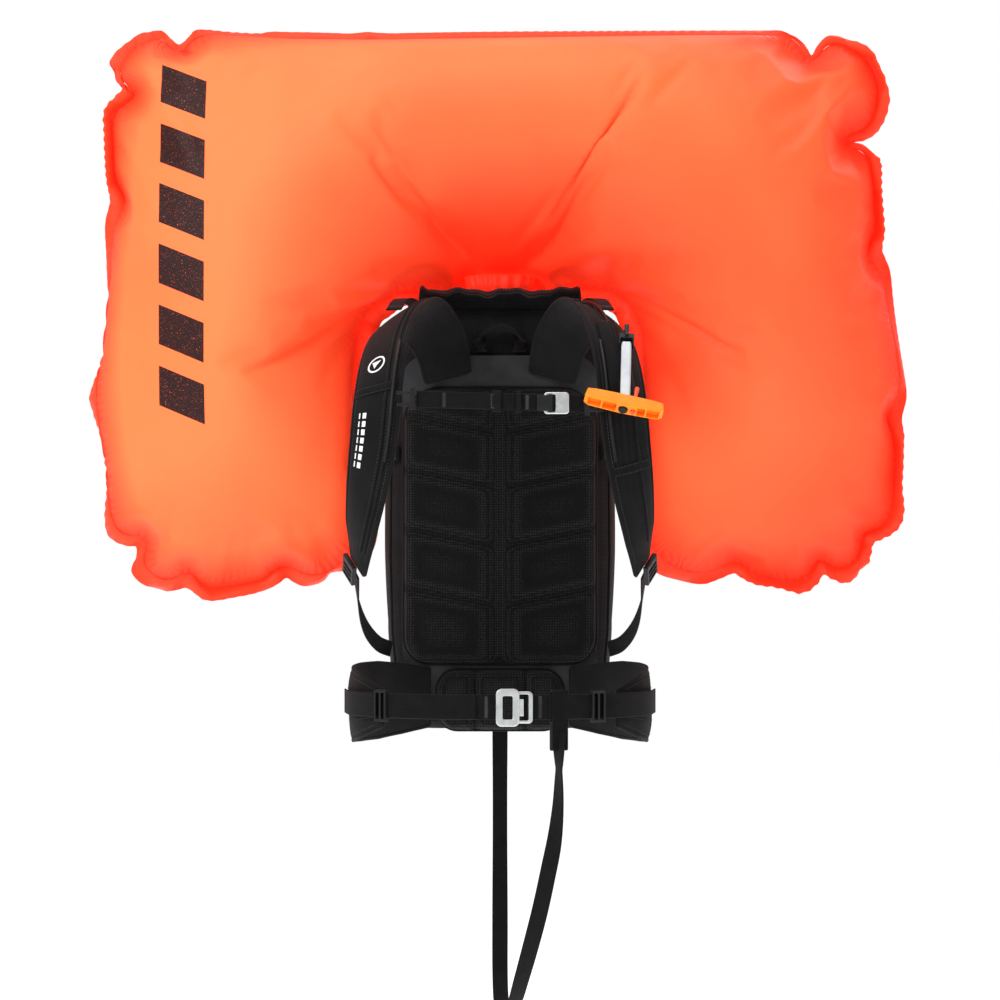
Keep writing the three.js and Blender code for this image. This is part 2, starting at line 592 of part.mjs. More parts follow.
// ---------------------------------------------------------------- airbag and inflation unit
/** A pillow that fills a box: squarish seen from the front, rounded through its depth. */
function pillow(x0, x1, z0, z1, depth, inset) {
  const ball = new THREE.SphereGeometry(1, 20, 12);
  const at = ball.getAttribute("position");
  const power = (v, e) => Math.sign(v) * Math.abs(v) ** e;
  for (let i = 0; i < at.count; i++) {
    const [x, y, z] = [at.getX(i), at.getY(i), at.getZ(i)];
    const flat = Math.hypot(x, y) || 1;
    const shrink = Math.sqrt(1 - Math.min(1, z * z)) ** AIRBAG.square;
    const px = power(x / flat, AIRBAG.square) * shrink;
    const pz = power(y / flat, AIRBAG.square) * shrink;
    at.setXYZ(i, (x0 + x1) / 2 + ((x1 - x0) / 2 - inset) * px,
      AIRBAG.plane + (depth - inset) * z, (z0 + z1) / 2 + ((z1 - z0) / 2 - inset) * pz);
  }
  const bare = mergeVertices(ball.deleteAttribute("normal").deleteAttribute("uv"), 1e-3);
  const solid = solidOf(bare);
  return solid.volume() < 0 ? solidOf(flipped(bare)) : solid;
}

/** A geometry with its faces turned round. */
function flipped(geometry) {
  const index = Array.from(geometry.index.array);
  for (let i = 0; i < index.length; i += 3) [index[i], index[i + 1]] = [index[i + 1], index[i]];
  return geometry.clone().setIndex(index);
}

function addAirbag() {
  const { halfWidth, top, barBottom, barReach, barDepth, lobeInner, lobeBottom, lobeDepth, wall } = AIRBAG;
  const chamber = (inset) => pillow(-barReach, barReach, barBottom, top, barDepth, inset)
    .add(pillow(lobeInner, halfWidth, lobeBottom, top, lobeDepth, inset))
    .add(pillow(-halfWidth, -lobeInner, lobeBottom, top, lobeDepth, inset));
  const neck = post(INLET.x, INLET.y, barBottom - 8, barBottom + 60, INLET.bore, 20);
  const shell = chamber(0).subtract(chamber(wall)).subtract(solidOf(neck));
  // One bag, as three sections that meet edge to edge, so that collision stays open between its lobes.
  const [rightward, leftward] = [[-1, 0, 0], [1, 0, 0]];
  const bar = shell.trimByPlane(leftward, -lobeInner).trimByPlane(rightward, -lobeInner);
  add("airbag_bar", geometryOf(bar), AIRBAG_FABRIC);
  add("airbag_lobe_left", geometryOf(shell.trimByPlane(leftward, lobeInner)), AIRBAG_FABRIC);
  add("airbag_lobe_right", geometryOf(shell.trimByPlane(rightward, lobeInner)), AIRBAG_FABRIC);
}

function ring(x, y, z0, z1, inner, outer, sides = 24) {
  return cut(post(x, y, z0, z1, outer, sides), post(x, y, z0 - 1, z1 + 1, inner, sides));
}

function addInflationUnit() {
  const { x, y, bore, outer, bottom, top, collarTop } = INLET;
  add("inlet_collar", ring(x, y, top + GAP, collarTop, bore, outer - 4), PLASTIC_BLACK);
  const boss = rod(x, 232, y + outer - 6, y + outer + 8, 10);
  const buttonBore = rod(x, 232, y + outer - 1, y + outer + 12, 7.6);
  const body = cut(joined(ring(x, y, bottom, top, bore, outer), boss),
    buttonBore, post(x, y, bottom - 1, top + 1, bore));
  add("venturi_body", body, ALUMINIUM);
  add("deflate_button", rod(x, 232, y + outer + 3.6, y + outer + 12, 7), BUTTON_RED);

  const rim = ring(x, y, bottom - 8, bottom - GAP, 24, 34);
  add("intake_screen", joined(rim, box([x - 26, y - 1, bottom - 6], [x + 26, y + 1, bottom - 3]),
    box([x - 1, y - 26, bottom - 6], [x + 1, y + 26, bottom - 3])), STEEL);

  const { x0, x1, y0, y1, z0, z1, boltX } = VALVE;
  const block = plate(roundedRectangle(x0, z0, x1, z1, 5), y0, y1 - y0, 1.5);
  const thread = post(boltX, y, z0 - 1, z0 + 14, 10);
  const pinBore = post(boltX, y, z0, z1 + 1, PIN.bore);
  const gauge = rod(64, 222, y1 - 1, y1 + 13, 12);
  add("valve_block", cut(joined(block, gauge), thread, pinBore), ALUMINIUM);

  const { radius, neck, neckRadius, threadRadius, shoulder } = CARTRIDGE;
  const low = CARTRIDGE.bottom;
  const inner = radius - CARTRIDGE.wall;
  const profile = [
    [0, low], [16, low + 1], [25, low + 6], [radius, low + 17], [radius, shoulder], [26, shoulder + 12],
    [19, shoulder + 20], [neckRadius, neck], [neckRadius, z0 - 8], [threadRadius, z0 - 6],
    [threadRadius, z0 + 13], [CARTRIDGE.bore, z0 + 13], [CARTRIDGE.bore, neck - 2],
    [17, shoulder + 15], [inner, shoulder - 2], [inner, low + 18], [14, low + 5], [0, low + 4],
  ].map(([r, z]) => new THREE.Vector2(r, z));
  add("cartridge", new THREE.LatheGeometry(profile, 20).rotateX(Math.PI / 2).translate(boltX, y, 0),
    CARTRIDGE_BLACK);
  add("cartridge_band", joined(ring(boltX, y, 46, 66, radius + 0.8, radius + 3.2),
    box([boltX + radius + 2, y - 9, 48], [138, y + 9, 64])), WEBBING_BLACK);

  const pin = new THREE.LatheGeometry([
    [0, PIN.tip], [PIN.radius, PIN.tip + 4], [PIN.radius, PIN.headBottom], [PIN.headRadius, PIN.headBottom],
    [PIN.headRadius, PIN.headTop], [0, PIN.headTop],
  ].map(([r, z]) => new THREE.Vector2(r, z)), 16);
  add("firing_pin", pin.rotateX(Math.PI / 2).translate(boltX, y, 0), STEEL);
  const coil = [];
  const turns = 3.5;
  const steps = 42;
  for (let i = 0; i <= steps; i++) {
    const turn = (i / steps) * turns * 2 * Math.PI;
    const rise = (i / steps) * (PIN.headBottom - z1 - 2.2);
    coil.push(V(boltX + 4.2 * Math.cos(turn), y + 4.2 * Math.sin(turn), z1 + 1.1 + rise));
  }
  add("firing_spring", tube(smooth(coil), 1.4, steps, 5), STEEL);
}

addPack();
addBack();
addBurstFlaps();
addSideStraps();
addShoulderStraps();
addChestStrap();
addHipBelt();
addLegStrap();
addTrigger();
addCableHousing();
addAirbag();
addInflationUnit();

export default backpack;
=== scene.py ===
import json
import math

import bmesh
import bpy
import numpy as np
from mathutils import Matrix, Vector, geometry, noise
from mathutils.bvhtree import BVHTree

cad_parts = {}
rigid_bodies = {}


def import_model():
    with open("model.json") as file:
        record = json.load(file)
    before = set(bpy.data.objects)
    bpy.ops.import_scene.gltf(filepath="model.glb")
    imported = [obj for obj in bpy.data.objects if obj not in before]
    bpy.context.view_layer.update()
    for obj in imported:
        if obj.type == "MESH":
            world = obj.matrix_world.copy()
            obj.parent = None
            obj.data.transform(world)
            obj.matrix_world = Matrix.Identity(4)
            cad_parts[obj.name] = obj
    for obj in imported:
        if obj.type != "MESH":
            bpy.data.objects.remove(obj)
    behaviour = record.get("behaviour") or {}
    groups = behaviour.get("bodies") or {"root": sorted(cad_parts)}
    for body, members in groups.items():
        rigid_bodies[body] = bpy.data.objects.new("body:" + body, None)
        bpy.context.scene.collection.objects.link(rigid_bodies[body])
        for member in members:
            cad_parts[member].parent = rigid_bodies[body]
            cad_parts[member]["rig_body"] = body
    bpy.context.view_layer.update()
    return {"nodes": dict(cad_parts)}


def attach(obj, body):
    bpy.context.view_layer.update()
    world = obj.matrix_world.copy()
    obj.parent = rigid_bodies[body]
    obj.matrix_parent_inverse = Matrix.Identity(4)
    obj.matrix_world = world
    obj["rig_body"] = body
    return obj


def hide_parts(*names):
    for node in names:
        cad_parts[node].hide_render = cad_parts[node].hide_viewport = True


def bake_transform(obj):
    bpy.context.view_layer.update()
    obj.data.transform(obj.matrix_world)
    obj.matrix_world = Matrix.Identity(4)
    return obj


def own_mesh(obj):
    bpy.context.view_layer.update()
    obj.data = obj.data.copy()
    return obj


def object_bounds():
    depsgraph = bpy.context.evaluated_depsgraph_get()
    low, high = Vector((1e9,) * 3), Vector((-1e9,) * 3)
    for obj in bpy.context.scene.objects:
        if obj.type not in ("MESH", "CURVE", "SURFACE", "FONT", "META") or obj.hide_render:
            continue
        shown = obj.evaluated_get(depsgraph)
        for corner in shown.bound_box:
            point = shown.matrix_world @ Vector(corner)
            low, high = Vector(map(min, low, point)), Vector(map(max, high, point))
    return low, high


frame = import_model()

MM = 0.001
LEFT, RIGHT = 1, -1
SIDES = (("left", LEFT), ("right", RIGHT))

# ------------------------------------------------------------------ camera and cords
CAMERA_DISTANCE = 4.7
CAMERA_HEIGHT = 0.03
CAMERA_LENS = 133.5
FLOOR_DROP = 0.55  # the floor lies this far under the lowest piece, as under a wearer's feet


def add_camera():
    data = bpy.data.cameras.new("camera")
    data.lens = CAMERA_LENS
    data.sensor_width = 36
    camera = bpy.data.objects.new("camera", data)
    camera.location = (0, -CAMERA_DISTANCE, CAMERA_HEIGHT)
    camera.rotation_euler = (math.pi / 2, 0, 0)
    bpy.context.scene.collection.objects.link(camera)
    bpy.context.scene.camera = camera


add_camera()

# The centre lines of the soft pieces that follow a curve, in millimetres, as in the CAD part.
LEG_STRAP = [
    (70, -294, -270), (70, -292, -300), (69, -288, -335), (65, -280, -375), (57, -268, -418),
    (48, -252, -462),
    (37, -230, -508), (26, -200, -552), (17, -163, -588), (9, -120, -608), (4, -75, -611), (1, -32, -594),
    (0, 5, -562), (0, 33, -518), (0, 50, -466), (0, 59, -410), (0, 64, -355), (0, 67, -308), (0, 68, -272),
]
STRAP = [
    (66, 8, 186), (74, -6, 222), (90, -36, 250), (106, -80, 262), (121, -135, 255), (134, -190, 230),
    (142, -236, 192), (147, -264, 148), (152, -272, 95), (160, -262, 42), (168, -236, -8), (172, -200, -50),
]
STRAP_WIDTHS = (58, 64, 70, 72, 72, 70, 68, 66, 63, 58, 52, 38)
STRAP_THICK = 13
LOWER_WEB = [(172, -193, -58), (171, -150, -95), (164, -96, -128), (151, -42, -150), (136, 16, -160)]
LOAD_LIFTER = [(131, -132, 264.5), (125, -90, 277.5), (116, -30, 282), (106, 12, 274), (104, 23, 262)]
WEB_THICK = 1.8


# ------------------------------------------------------------------ curves and meshes
def unit(vectors):
    """Vectors of length 1, row by row."""
    return vectors / np.maximum(np.linalg.norm(vectors, axis=-1, keepdims=True), 1e-12)


def smooth_line(points, count):
    """Evenly spaced points on a centripetal Catmull-Rom curve through points, which are in millimetres."""
    p = np.array(points, float) * MM
    p = np.vstack([2 * p[0] - p[1], p, 2 * p[-1] - p[-2]])
    dense = []
    for p0, p1, p2, p3 in zip(p[:-3], p[1:-2], p[2:-1], p[3:]):
        gaps = [max(math.sqrt(np.linalg.norm(b - a)), 1e-6) for a, b in ((p0, p1), (p1, p2), (p2, p3))]
        m1 = ((p1 - p0) / gaps[0] - (p2 - p0) / (gaps[0] + gaps[1]) + (p2 - p1) / gaps[1]) * gaps[1]
        m2 = ((p2 - p1) / gaps[1] - (p3 - p1) / (gaps[1] + gaps[2]) + (p3 - p2) / gaps[2]) * gaps[1]
        for t in np.arange(0, 1, 1 / 24):
            dense.append((2 * t**3 - 3 * t**2 + 1) * p1 + (t**3 - 2 * t**2 + t) * m1
                         + (3 * t**2 - 2 * t**3) * p2 + (t**3 - t**2) * m2)
    return evenly(np.array(dense + [p[-2]]), count)


def evenly(line, count):
    """The same line as count evenly spaced points."""
    run = np.concatenate([[0], np.cumsum(np.linalg.norm(np.diff(line, axis=0), axis=1))])
    at = np.linspace(0, run[-1], count)
    return np.stack([np.interp(at, run, line[:, k]) for k in range(line.shape[1])], axis=1)


def length_of(line):
    return float(np.linalg.norm(np.diff(line, axis=0), axis=1).sum())


def away_from_wearer(p):
    """The way that the outer face of a shoulder strap looks."""
    z = p[:, 2] - np.minimum(p[:, 2], 0.12)
    return unit(np.stack([0.65 * p[:, 0], p[:, 1] + 0.13, z], axis=1))


def away_from_waist(p):
    return unit(np.stack([p[:, 0], p[:, 1] + 0.146, 0 * p[:, 2]], axis=1))


def facing(x, y, z):
    """The same outward direction all along a line."""
    return lambda p: unit(np.tile([float(x), y, z], (len(p), 1)))


def frames(line, away):
    """Unit vectors out of the flat face and across it, at each point of a line."""
    tangent = unit(np.gradient(line, axis=0))
    out = away(line)
    out = unit(out - (out * tangent).sum(axis=1, keepdims=True) * tangent)
    return out, np.cross(tangent, out)


def new_object(name, mesh, material, body, smooth=True):
    """A piece of the object, which rides on a body of the CAD part."""
    obj = bpy.data.objects.new(name, mesh)
    bpy.context.scene.collection.objects.link(obj)
    for one in material if isinstance(material, (list, tuple)) else [material]:
        mesh.materials.append(one)
    if smooth:
        mesh.polygons.foreach_set("use_smooth", [True] * len(mesh.polygons))
    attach(obj, body)
    return obj


def skin(name, rings, material, body, closed=True, caps=True, scale=1.0):
    """A mesh over rings of points, with a UV map in metres: around the ring, and along the rings."""
    rings = np.asarray(rings, float)
    n, m, _ = rings.shape
    mesh = bpy.data.meshes.new(name)
    faces = []
    wide = m if closed else m - 1
    for i in range(n - 1):
        for j in range(wide):
            k = (j + 1) % m
            faces.append((i * m + j, i * m + k, (i + 1) * m + k, (i + 1) * m + j))
    if caps:
        faces.append(tuple(range(m - 1, -1, -1)))
        faces.append(tuple(range((n - 1) * m, n * m)))
    mesh.from_pydata(rings.reshape(-1, 3).tolist(), [], faces)
    wrap = np.concatenate([rings, rings[:, :1]], axis=1)
    around = np.concatenate([[0], np.cumsum(np.linalg.norm(np.diff(wrap, axis=1), axis=2).mean(axis=0))])
    along = np.concatenate([[0], np.cumsum(np.linalg.norm(np.diff(rings, axis=0), axis=2).mean(axis=1))])
    uv = mesh.uv_layers.new(name="cloth")
    flat = np.zeros((len(mesh.loops), 2))
    at = 0
    for i in range(n - 1):
        for j in range(wide):
            flat[at:at + 4] = ((around[j], along[i]), (around[j + 1], along[i]),
                               (around[j + 1], along[i + 1]), (around[j], along[i + 1]))
            at += 4
    uv.data.foreach_set("uv", (flat * scale).ravel())
    mesh.validate()
    mesh.update()
    fix_normals(mesh)
    return new_object(name, mesh, material, body)


def fix_normals(mesh):
    shape = bmesh.new()
    shape.from_mesh(mesh)
    bmesh.ops.recalc_face_normals(shape, faces=shape.faces)
    shape.to_mesh(mesh)
    shape.free()


def cross_section(line, away, section):
    """Rings that sweep a section along a line: (across, out) pairs in metres, for each point or for all."""
    out, across = frames(line, away)
    section = np.asarray(section, float)
    if section.ndim == 2:
        section = np.tile(section, (len(line), 1, 1))
    return (line[:, None] + section[..., 0:1] * across[:, None] + section[..., 1:2] * out[:, None])


def web_section(width, thick, edge=0.35):
    """A woven strap's section: flat, with soft selvedge edges."""
    w, t = width / 2, thick / 2
    e = edge * thick
    half = [(-w, 0), (-w + e, -t), (-w + 3 * e, -t), (-w / 3, -t), (w / 3, -t), (w - 3 * e, -t), (w - e, -t)]
    return half + [(-a, -b) for a, b in half]


def webbing(name, points, width, body, away, thick=WEB_THICK, count=60, material=None, lift=0.0, aside=0.0):
    """A flat woven strap along a curve through points, all in millimetres."""
    line = smooth_line(points, count) if isinstance(points, list) else points
    section = np.array(web_section(width * MM, thick * MM)) + (aside * MM, lift * MM)
    obj = skin(name, cross_section(line, away, section), material or WEBBING, body)
    return obj


def tube(name, line, radius, material, body, sides=10, away=facing(0.01, 0.02, 1)):
    """A round cord or piping along a line in metres."""
    turn = np.linspace(0, 2 * math.pi, sides, endpoint=False)
    radius = np.broadcast_to(radius, (len(line),))
    section = np.stack([np.cos(turn), np.sin(turn)], axis=1)[None] * radius[:, None, None]
    return skin(name, cross_section(line, away, section), material, body)


def apply_modifiers(obj):
    """Keeps the shape that the modifiers give, without the modifiers."""
    graph = bpy.context.evaluated_depsgraph_get()
    mesh = bpy.data.meshes.new_from_object(obj.evaluated_get(graph), depsgraph=graph)
    obj.modifiers.clear()
    old, obj.data = obj.data, mesh
    bpy.data.meshes.remove(old)


def subdivide(obj, levels=1):
    modifier = obj.modifiers.new("subdivision", "SUBSURF")
    modifier.levels = modifier.render_levels = levels
    apply_modifiers(obj)


def inflate(obj, steps, pressure, tension=20.0, bending=0.4, cap=None, group=None, pins=None, mass=0.15):
    """Cloth under pressure, without gravity, applied to the mesh. No point moves further than cap."""
    scene = bpy.context.scene
    rest = np.empty(len(obj.data.vertices) * 3)
    obj.data.vertices.foreach_get("co", rest)
    cloth = obj.modifiers.new("Cloth", "CLOTH")
    cloth.point_cache.frame_start, cloth.point_cache.frame_end = 1, steps
    settings = cloth.settings
    settings.quality = 6
    settings.mass = mass
    settings.tension_stiffness = settings.compression_stiffness = tension
    settings.shear_stiffness = tension / 3
    settings.bending_stiffness = bending
    settings.tension_damping = settings.compression_damping = 15
    settings.air_damping = 3
    settings.use_pressure = True
    settings.uniform_pressure_force = pressure
    settings.effector_weights.gravity = 0
    if group:
        settings.vertex_group_pressure = group
    if pins:
        settings.vertex_group_mass = pins
        settings.pin_stiffness = 5
    cloth.collision_settings.use_collision = False
    for step in range(1, steps + 1):
        scene.frame_set(step)
    apply_modifiers(obj)
    scene.frame_set(1)
    if cap:
        rest = rest.reshape(-1, 3)
        now = np.empty(rest.size)
        obj.data.vertices.foreach_get("co", now)
        move = now.reshape(-1, 3) - rest
        far = np.maximum(np.linalg.norm(move, axis=1, keepdims=True), 1e-9)
        move *= cap / far * np.tanh(far / cap)
        obj.data.vertices.foreach_set("co", (rest + move).ravel())
    obj.data.update()


# ------------------------------------------------------------------ materials
class Shade:
    """A procedural material round one Principled shader."""

    def __init__(self, name, color, roughness, **sockets):
        self.material = bpy.data.materials.new(name)
        self.material.use_nodes = True
        self.nodes = self.material.node_tree.nodes
        self.links = self.material.node_tree.links
        self.shader = self.nodes["Principled BSDF"]
        self.set("Base Color", (*color, 1))
        self.set("Roughness", roughness)
        for key, value in sockets.items():
            self.set(key.replace("_", " ").title().replace("Ior", "IOR"), value)
        self.height = None

    def set(self, socket, value):
        target = self.shader.inputs[socket]
        if isinstance(value, bpy.types.NodeSocket):
            self.links.new(value, target)
        else:
            target.default_value = value

    def node(self, kind, out=0, fields=None, **inputs):
        node = self.nodes.new("ShaderNode" + kind)
        for key, value in (fields or {}).items():
            setattr(node, key, value)
        for key, value in inputs.items():
            key = int(key[1:]) if key[0] == "i" and key[1:].isdigit() else key.replace("_", " ").title()
            target = node.inputs[key]
            if isinstance(value, bpy.types.NodeSocket):
                self.links.new(value, target)
            else:
                target.default_value = value
        return node.outputs[out]

    def math(self, operation, a, b=0.0, c=0.0):
        return self.node("Math", fields={"operation": operation}, i0=a, i1=b, i2=c)

    def uv(self):
        return self.node("UVMap", fields={"uv_map": "cloth"})

    def place(self):
        return self.node("TexCoord", out="Object")

    def split(self, vector):
        node = self.nodes.new("ShaderNodeSeparateXYZ")
        self.links.new(vector, node.inputs[0])
        return node.outputs

    def attribute(self, name):
        return self.node("Attribute", out="Fac", fields={"attribute_name": name})

    def noise(self, vector, scale, detail=2.0):
        return self.node("TexNoise", vector=vector, scale=scale, detail=detail)

    def ramp(self, value, low, high, to_low=0.0, to_high=1.0):
        return self.node("MapRange", value=value, from_min=low, from_max=high, to_min=to_low, to_max=to_high)

    def mix(self, factor, a, b):
        node = self.nodes.new("ShaderNodeMix")
        node.data_type = "RGBA"
        for socket, value in ((0, factor), (6, a), (7, b)):
            if isinstance(value, bpy.types.NodeSocket):
                self.links.new(value, node.inputs[socket])
            else:
                node.inputs[socket].default_value = (*value, 1) if hasattr(value, "__len__") else value
        return node.outputs[2]

    def wave(self, value, period, sharp=1.0):
        """A ridge from 0 to 1 each period of value."""
        ridge = self.math("PINGPONG", self.math("DIVIDE", value, period), 0.5)
        return self.math("POWER", self.math("MULTIPLY", ridge, 2.0), sharp)

    def band(self, value, centre, half, soft):
        """1 where value is within half of centre, and 0 beyond, with soft edges."""
        far = self.math("ABSOLUTE", self.math("SUBTRACT", value, centre))
        return self.ramp(far, half, half + soft, 1.0, 0.0)

    def bump(self, height, distance, strength=1.0):
        """Adds a bump of that depth in metres, over those before it."""
        inputs = {"height": height, "distance": distance, "strength": strength}
        if self.height is not None:
            inputs["normal"] = self.height
        self.height = self.node("Bump", **inputs)
        self.set("Normal", self.height)

    def tone(self, noise, dark, light, low=0.35, high=0.65):
        """Colours the surface between two colours by a noise."""
        self.set("Base Color", self.mix(self.ramp(noise, low, high), dark, light))

    def weave(self, vector, pitch, depth):
        """A plain weave of that pitch, in metres."""
        x, y, _ = self.split(vector)
        height = self.math("MAXIMUM", self.wave(x, pitch, 0.6), self.wave(y, pitch, 0.6))
        self.bump(height, depth)
        return height

    def wear(self, low, high, scale=60):
        """Roughness that varies in soft patches."""
        self.set("Roughness", self.ramp(self.noise(self.place(), scale, 4.0), 0.3, 0.7, low, high))


def airbag_shade(name, marked):
    s = Shade(name, (0.98, 0.17, 0.045), 0.5, sheen_weight=0.03, sheen_roughness=0.4, specular_ior_level=0.2,
              emission_strength=BAG_PAINTED_GLOW)
    # Painted glow: the bag's cloth emits orange-red light of its own, though it is no lamp.
    s.set("Emission Color", (1.0, 0.02, 0.004, 1))
    place = s.place()
    x, y, z = s.split(place)
    # Painted shade: the cloth turns from orange to deep red near the neck, towards the right and towards the
    # bottom, where the light is weaker and the creases are shaded. The cloud noise adds random mottle.
    throat = (0, -0.02, 0.27)
    to_neck = s.node("VectorMath", out="Value", fields={"operation": "DISTANCE"}, i0=place, i1=throat)
    cloud = s.noise(place, 5.0, 3.0)
    painted_lit_and_mottle = s.math("ADD", s.ramp(to_neck, 0.06, 0.36), s.ramp(cloud, 0.3, 0.7, -0.12, 0.12))
    painted_shade_right_and_low = s.math("MULTIPLY", s.ramp(x, 0.02, 0.48, 1.0, 0.36), s.ramp(z, -0.08, 0.12, 0.60, 1.0))
    painted_lit_and_mottle = s.math("MULTIPLY", painted_lit_and_mottle, painted_shade_right_and_low)
    color = s.mix(painted_lit_and_mottle, (0.95, 0.022, 0.004), (1.0, 0.19, 0.055))
    uv = s.uv()
    if marked:
        edge = s.attribute("edge")
        run = s.attribute("run")
        # Painted shade: deeper red within 6 cm of the seam, where the swollen face curves away towards it.
        color = s.mix(s.ramp(edge, 0.0, 0.06, 0.95, 0.0), color, (0.93, 0.028, 0.010))
        pucker = s.math("MULTIPLY", s.wave(s.math("ADD", run, s.math("MULTIPLY", cloud, 0.03)), 0.011, 1.0),
                        s.ramp(edge, 0.002, 0.030, 1.0, 0.0))
        s.bump(pucker, 0.0016, 0.8)
        slant = s.math("ADD", z, s.math("MULTIPLY", x, 0.42))
        step = s.math("PINGPONG", s.math("SUBTRACT", slant, MARK_LOW), MARK_PITCH / 2)
        bar = s.ramp(step, MARK_PITCH * 0.17, MARK_PITCH * 0.17 + 0.0008)
        across = s.band(x, (MARK_X[0] + MARK_X[1]) / 2, (MARK_X[1] - MARK_X[0]) / 2, 0.0008)
        along = s.band(slant, (MARK_LOW + MARK_HIGH) / 2, (MARK_HIGH - MARK_LOW) / 2, 0.0008)
        front = s.ramp(y, BAG_PLANE - 0.001, BAG_PLANE, 1.0, 0.0)
        ink = s.math("MULTIPLY", s.math("MULTIPLY", bar, across), s.math("MULTIPLY", along, front))
        worn = s.ramp(s.noise(place, 900.0, 2.0), 0.25, 0.35)
        ink = s.math("MULTIPLY", ink, worn)
        color = s.mix(ink, color, (0.020, 0.004, 0.004))
        # The painted glow is turned off under the ink.
        s.set("Emission Color", s.mix(ink, (1.0, 0.02, 0.004), (0.0, 0.0, 0.0)))
    else:
        u, v, _ = s.split(uv)
        stitch = s.math("MULTIPLY", s.band(u, 0.004, 0.0006, 0.0004), s.ramp(s.wave(v, 0.004), 0.3, 0.4))
        # Painted shade: the flange is a darker red copy of the bag's colour; the dark lines on it are its
        # stitches.
        color = s.mix(stitch, s.mix(0.85, color, (0.93, 0.032, 0.010)), (0.55, 0.05, 0.02))
        s.bump(stitch, 0.0006)
        s.bump(s.noise(uv, 240.0, 2.0), 0.0008, 0.7)
    s.set("Base Color", color)
    s.bump(s.noise(place, 38.0, 5.0), 0.0022, 0.35)
    s.weave(uv, 0.0011, 0.00012)
    return s.material


def fabric(name, dark, light, pitch, rib=0.0, roughness=0.8, sheen=0.04, depth=0.0002, on_uv=True):
    """Woven cloth, with a ripstop grid each rib metres where rib isn't 0."""
    s = Shade(name, light, roughness, sheen_weight=sheen, sheen_roughness=0.5, specular_ior_level=0.09)
    vector = s.uv() if on_uv else s.place()
    place = s.place()
    s.tone(s.noise(place, 26.0, 6.0), dark, light, 0.3, 0.7)
    s.weave(vector, pitch, depth)
    if rib:
        x, y, _ = s.split(vector)
        grid = s.math("MAXIMUM", s.ramp(s.wave(x, rib), 0.90, 0.98), s.ramp(s.wave(y, rib), 0.90, 0.98))
        s.bump(grid, 0.00035)
    s.bump(s.noise(place, 55.0, 4.0), 0.0015, 0.5)
    return s.material


def spacer_mesh(name, dark, light):
    """Three-dimensional mesh with small round holes."""
    s = Shade(name, light, 0.9, sheen_weight=0.05, specular_ior_level=0.12)
    place = s.place()
    cell = s.node("TexVoronoi", out="Distance", vector=place, scale=310.0, randomness=0.12)
    hole = s.ramp(cell, 0.25, 0.5)
    s.set("Base Color", s.mix(hole, light, dark))
    s.bump(s.math("SUBTRACT", 1.0, hole), 0.0011)
    s.bump(s.noise(place, 30.0, 3.0), 0.002, 0.4)
    return s.material


def woven_band(name, dark, light, ribs=0.0016):
    """Strap webbing: a herringbone across and ribs along."""
    s = Shade(name, light, 0.72, sheen_weight=0.03, specular_ior_level=0.1)
    u, v, _ = s.split(s.uv())
    zig = s.math("ADD", v, s.math("MULTIPLY", s.wave(u, 0.0062), 0.0018))
    pick = s.wave(zig, 0.0013, 0.8)
    rib = s.wave(u, ribs, 0.6)
    s.bump(s.math("MULTIPLY", pick, rib), 0.00035)
    cloud = s.noise(s.place(), 70.0, 4.0)
    s.tone(s.math("ADD", s.math("MULTIPLY", cloud, 0.7), s.math("MULTIPLY", pick, 0.3)), dark, light)
    return s.material


def plastic(name, color, dark, roughness=0.42, grain=1400.0, coat=0.0):
    s = Shade(name, color, roughness, specular_ior_level=0.25, coat_weight=coat)
    place = s.place()
    s.tone(s.noise(place, 45.0, 5.0), dark, color, 0.25, 0.6)
    s.wear(roughness - 0.08, roughness + 0.12, 120)
    s.bump(s.noise(place, grain, 2.0), 0.00008)
    return s.material


def metal(name, color, dark, roughness, brush=(40.0, 40.0, 900.0)):
    s = Shade(name, color, roughness, metallic=1.0)
    place = s.place()
    s.tone(s.noise(place, 90.0, 5.0), dark, color, 0.3, 0.6)
    s.wear(roughness - 0.06, roughness + 0.12, 200)
    scaled = s.node("VectorMath", fields={"operation": "MULTIPLY"}, i0=place, i1=brush)
    s.bump(s.noise(scaled, 4.0, 3.0), 0.00004, 0.6)
    return s.material


BAG_PLANE = 0.1  # y of the airbag's seam
BAG_PAINTED_GLOW = 0.36  # painted glow: emission standing in for light that shines through the thin cloth
MARK_X = (-0.433, -0.374)  # the printed bars on the bag's front
MARK_LOW, MARK_HIGH, MARK_PITCH = -0.045, 0.420, 0.0775

AIRBAG = airbag_shade("airbag_fabric", True)
FLANGE = airbag_shade("airbag_flange_fabric", False)
PACK = fabric("pack_fabric", (0.0050, 0.0050, 0.0055), (0.0092, 0.0092, 0.0101), 0.0011, rib=0.006)
PANEL = fabric("panel_fabric", (0.0067, 0.0071, 0.0076), (0.0126, 0.0130, 0.0139), 0.0016, depth=0.0003)
STRAP_CLOTH = fabric("strap_fabric", (0.0036, 0.0034, 0.0036), (0.0066, 0.0063, 0.0066), 0.0009)
BINDING = fabric("binding_tape", (0.0034, 0.0034, 0.0038), (0.0067, 0.0067, 0.0071), 0.0022, on_uv=False)
LINING = fabric("flap_lining", (0.0210, 0.0210, 0.0231), (0.0315, 0.0315, 0.0336), 0.0009, roughness=0.55)
SPACER = spacer_mesh("spacer_mesh", (0.0025, 0.0025, 0.0029), (0.0147, 0.0147, 0.0160))
WEBBING = woven_band("webbing", (0.0020, 0.0020, 0.0023), (0.0048, 0.0046, 0.0048))
CORD = woven_band("cord", (0.0025, 0.0025, 0.0029), (0.0084, 0.0084, 0.0088), ribs=0.0009)
BLACK_PLASTIC = plastic("black_plastic", (0.0067, 0.0067, 0.0076), (0.0038, 0.0038, 0.0042))
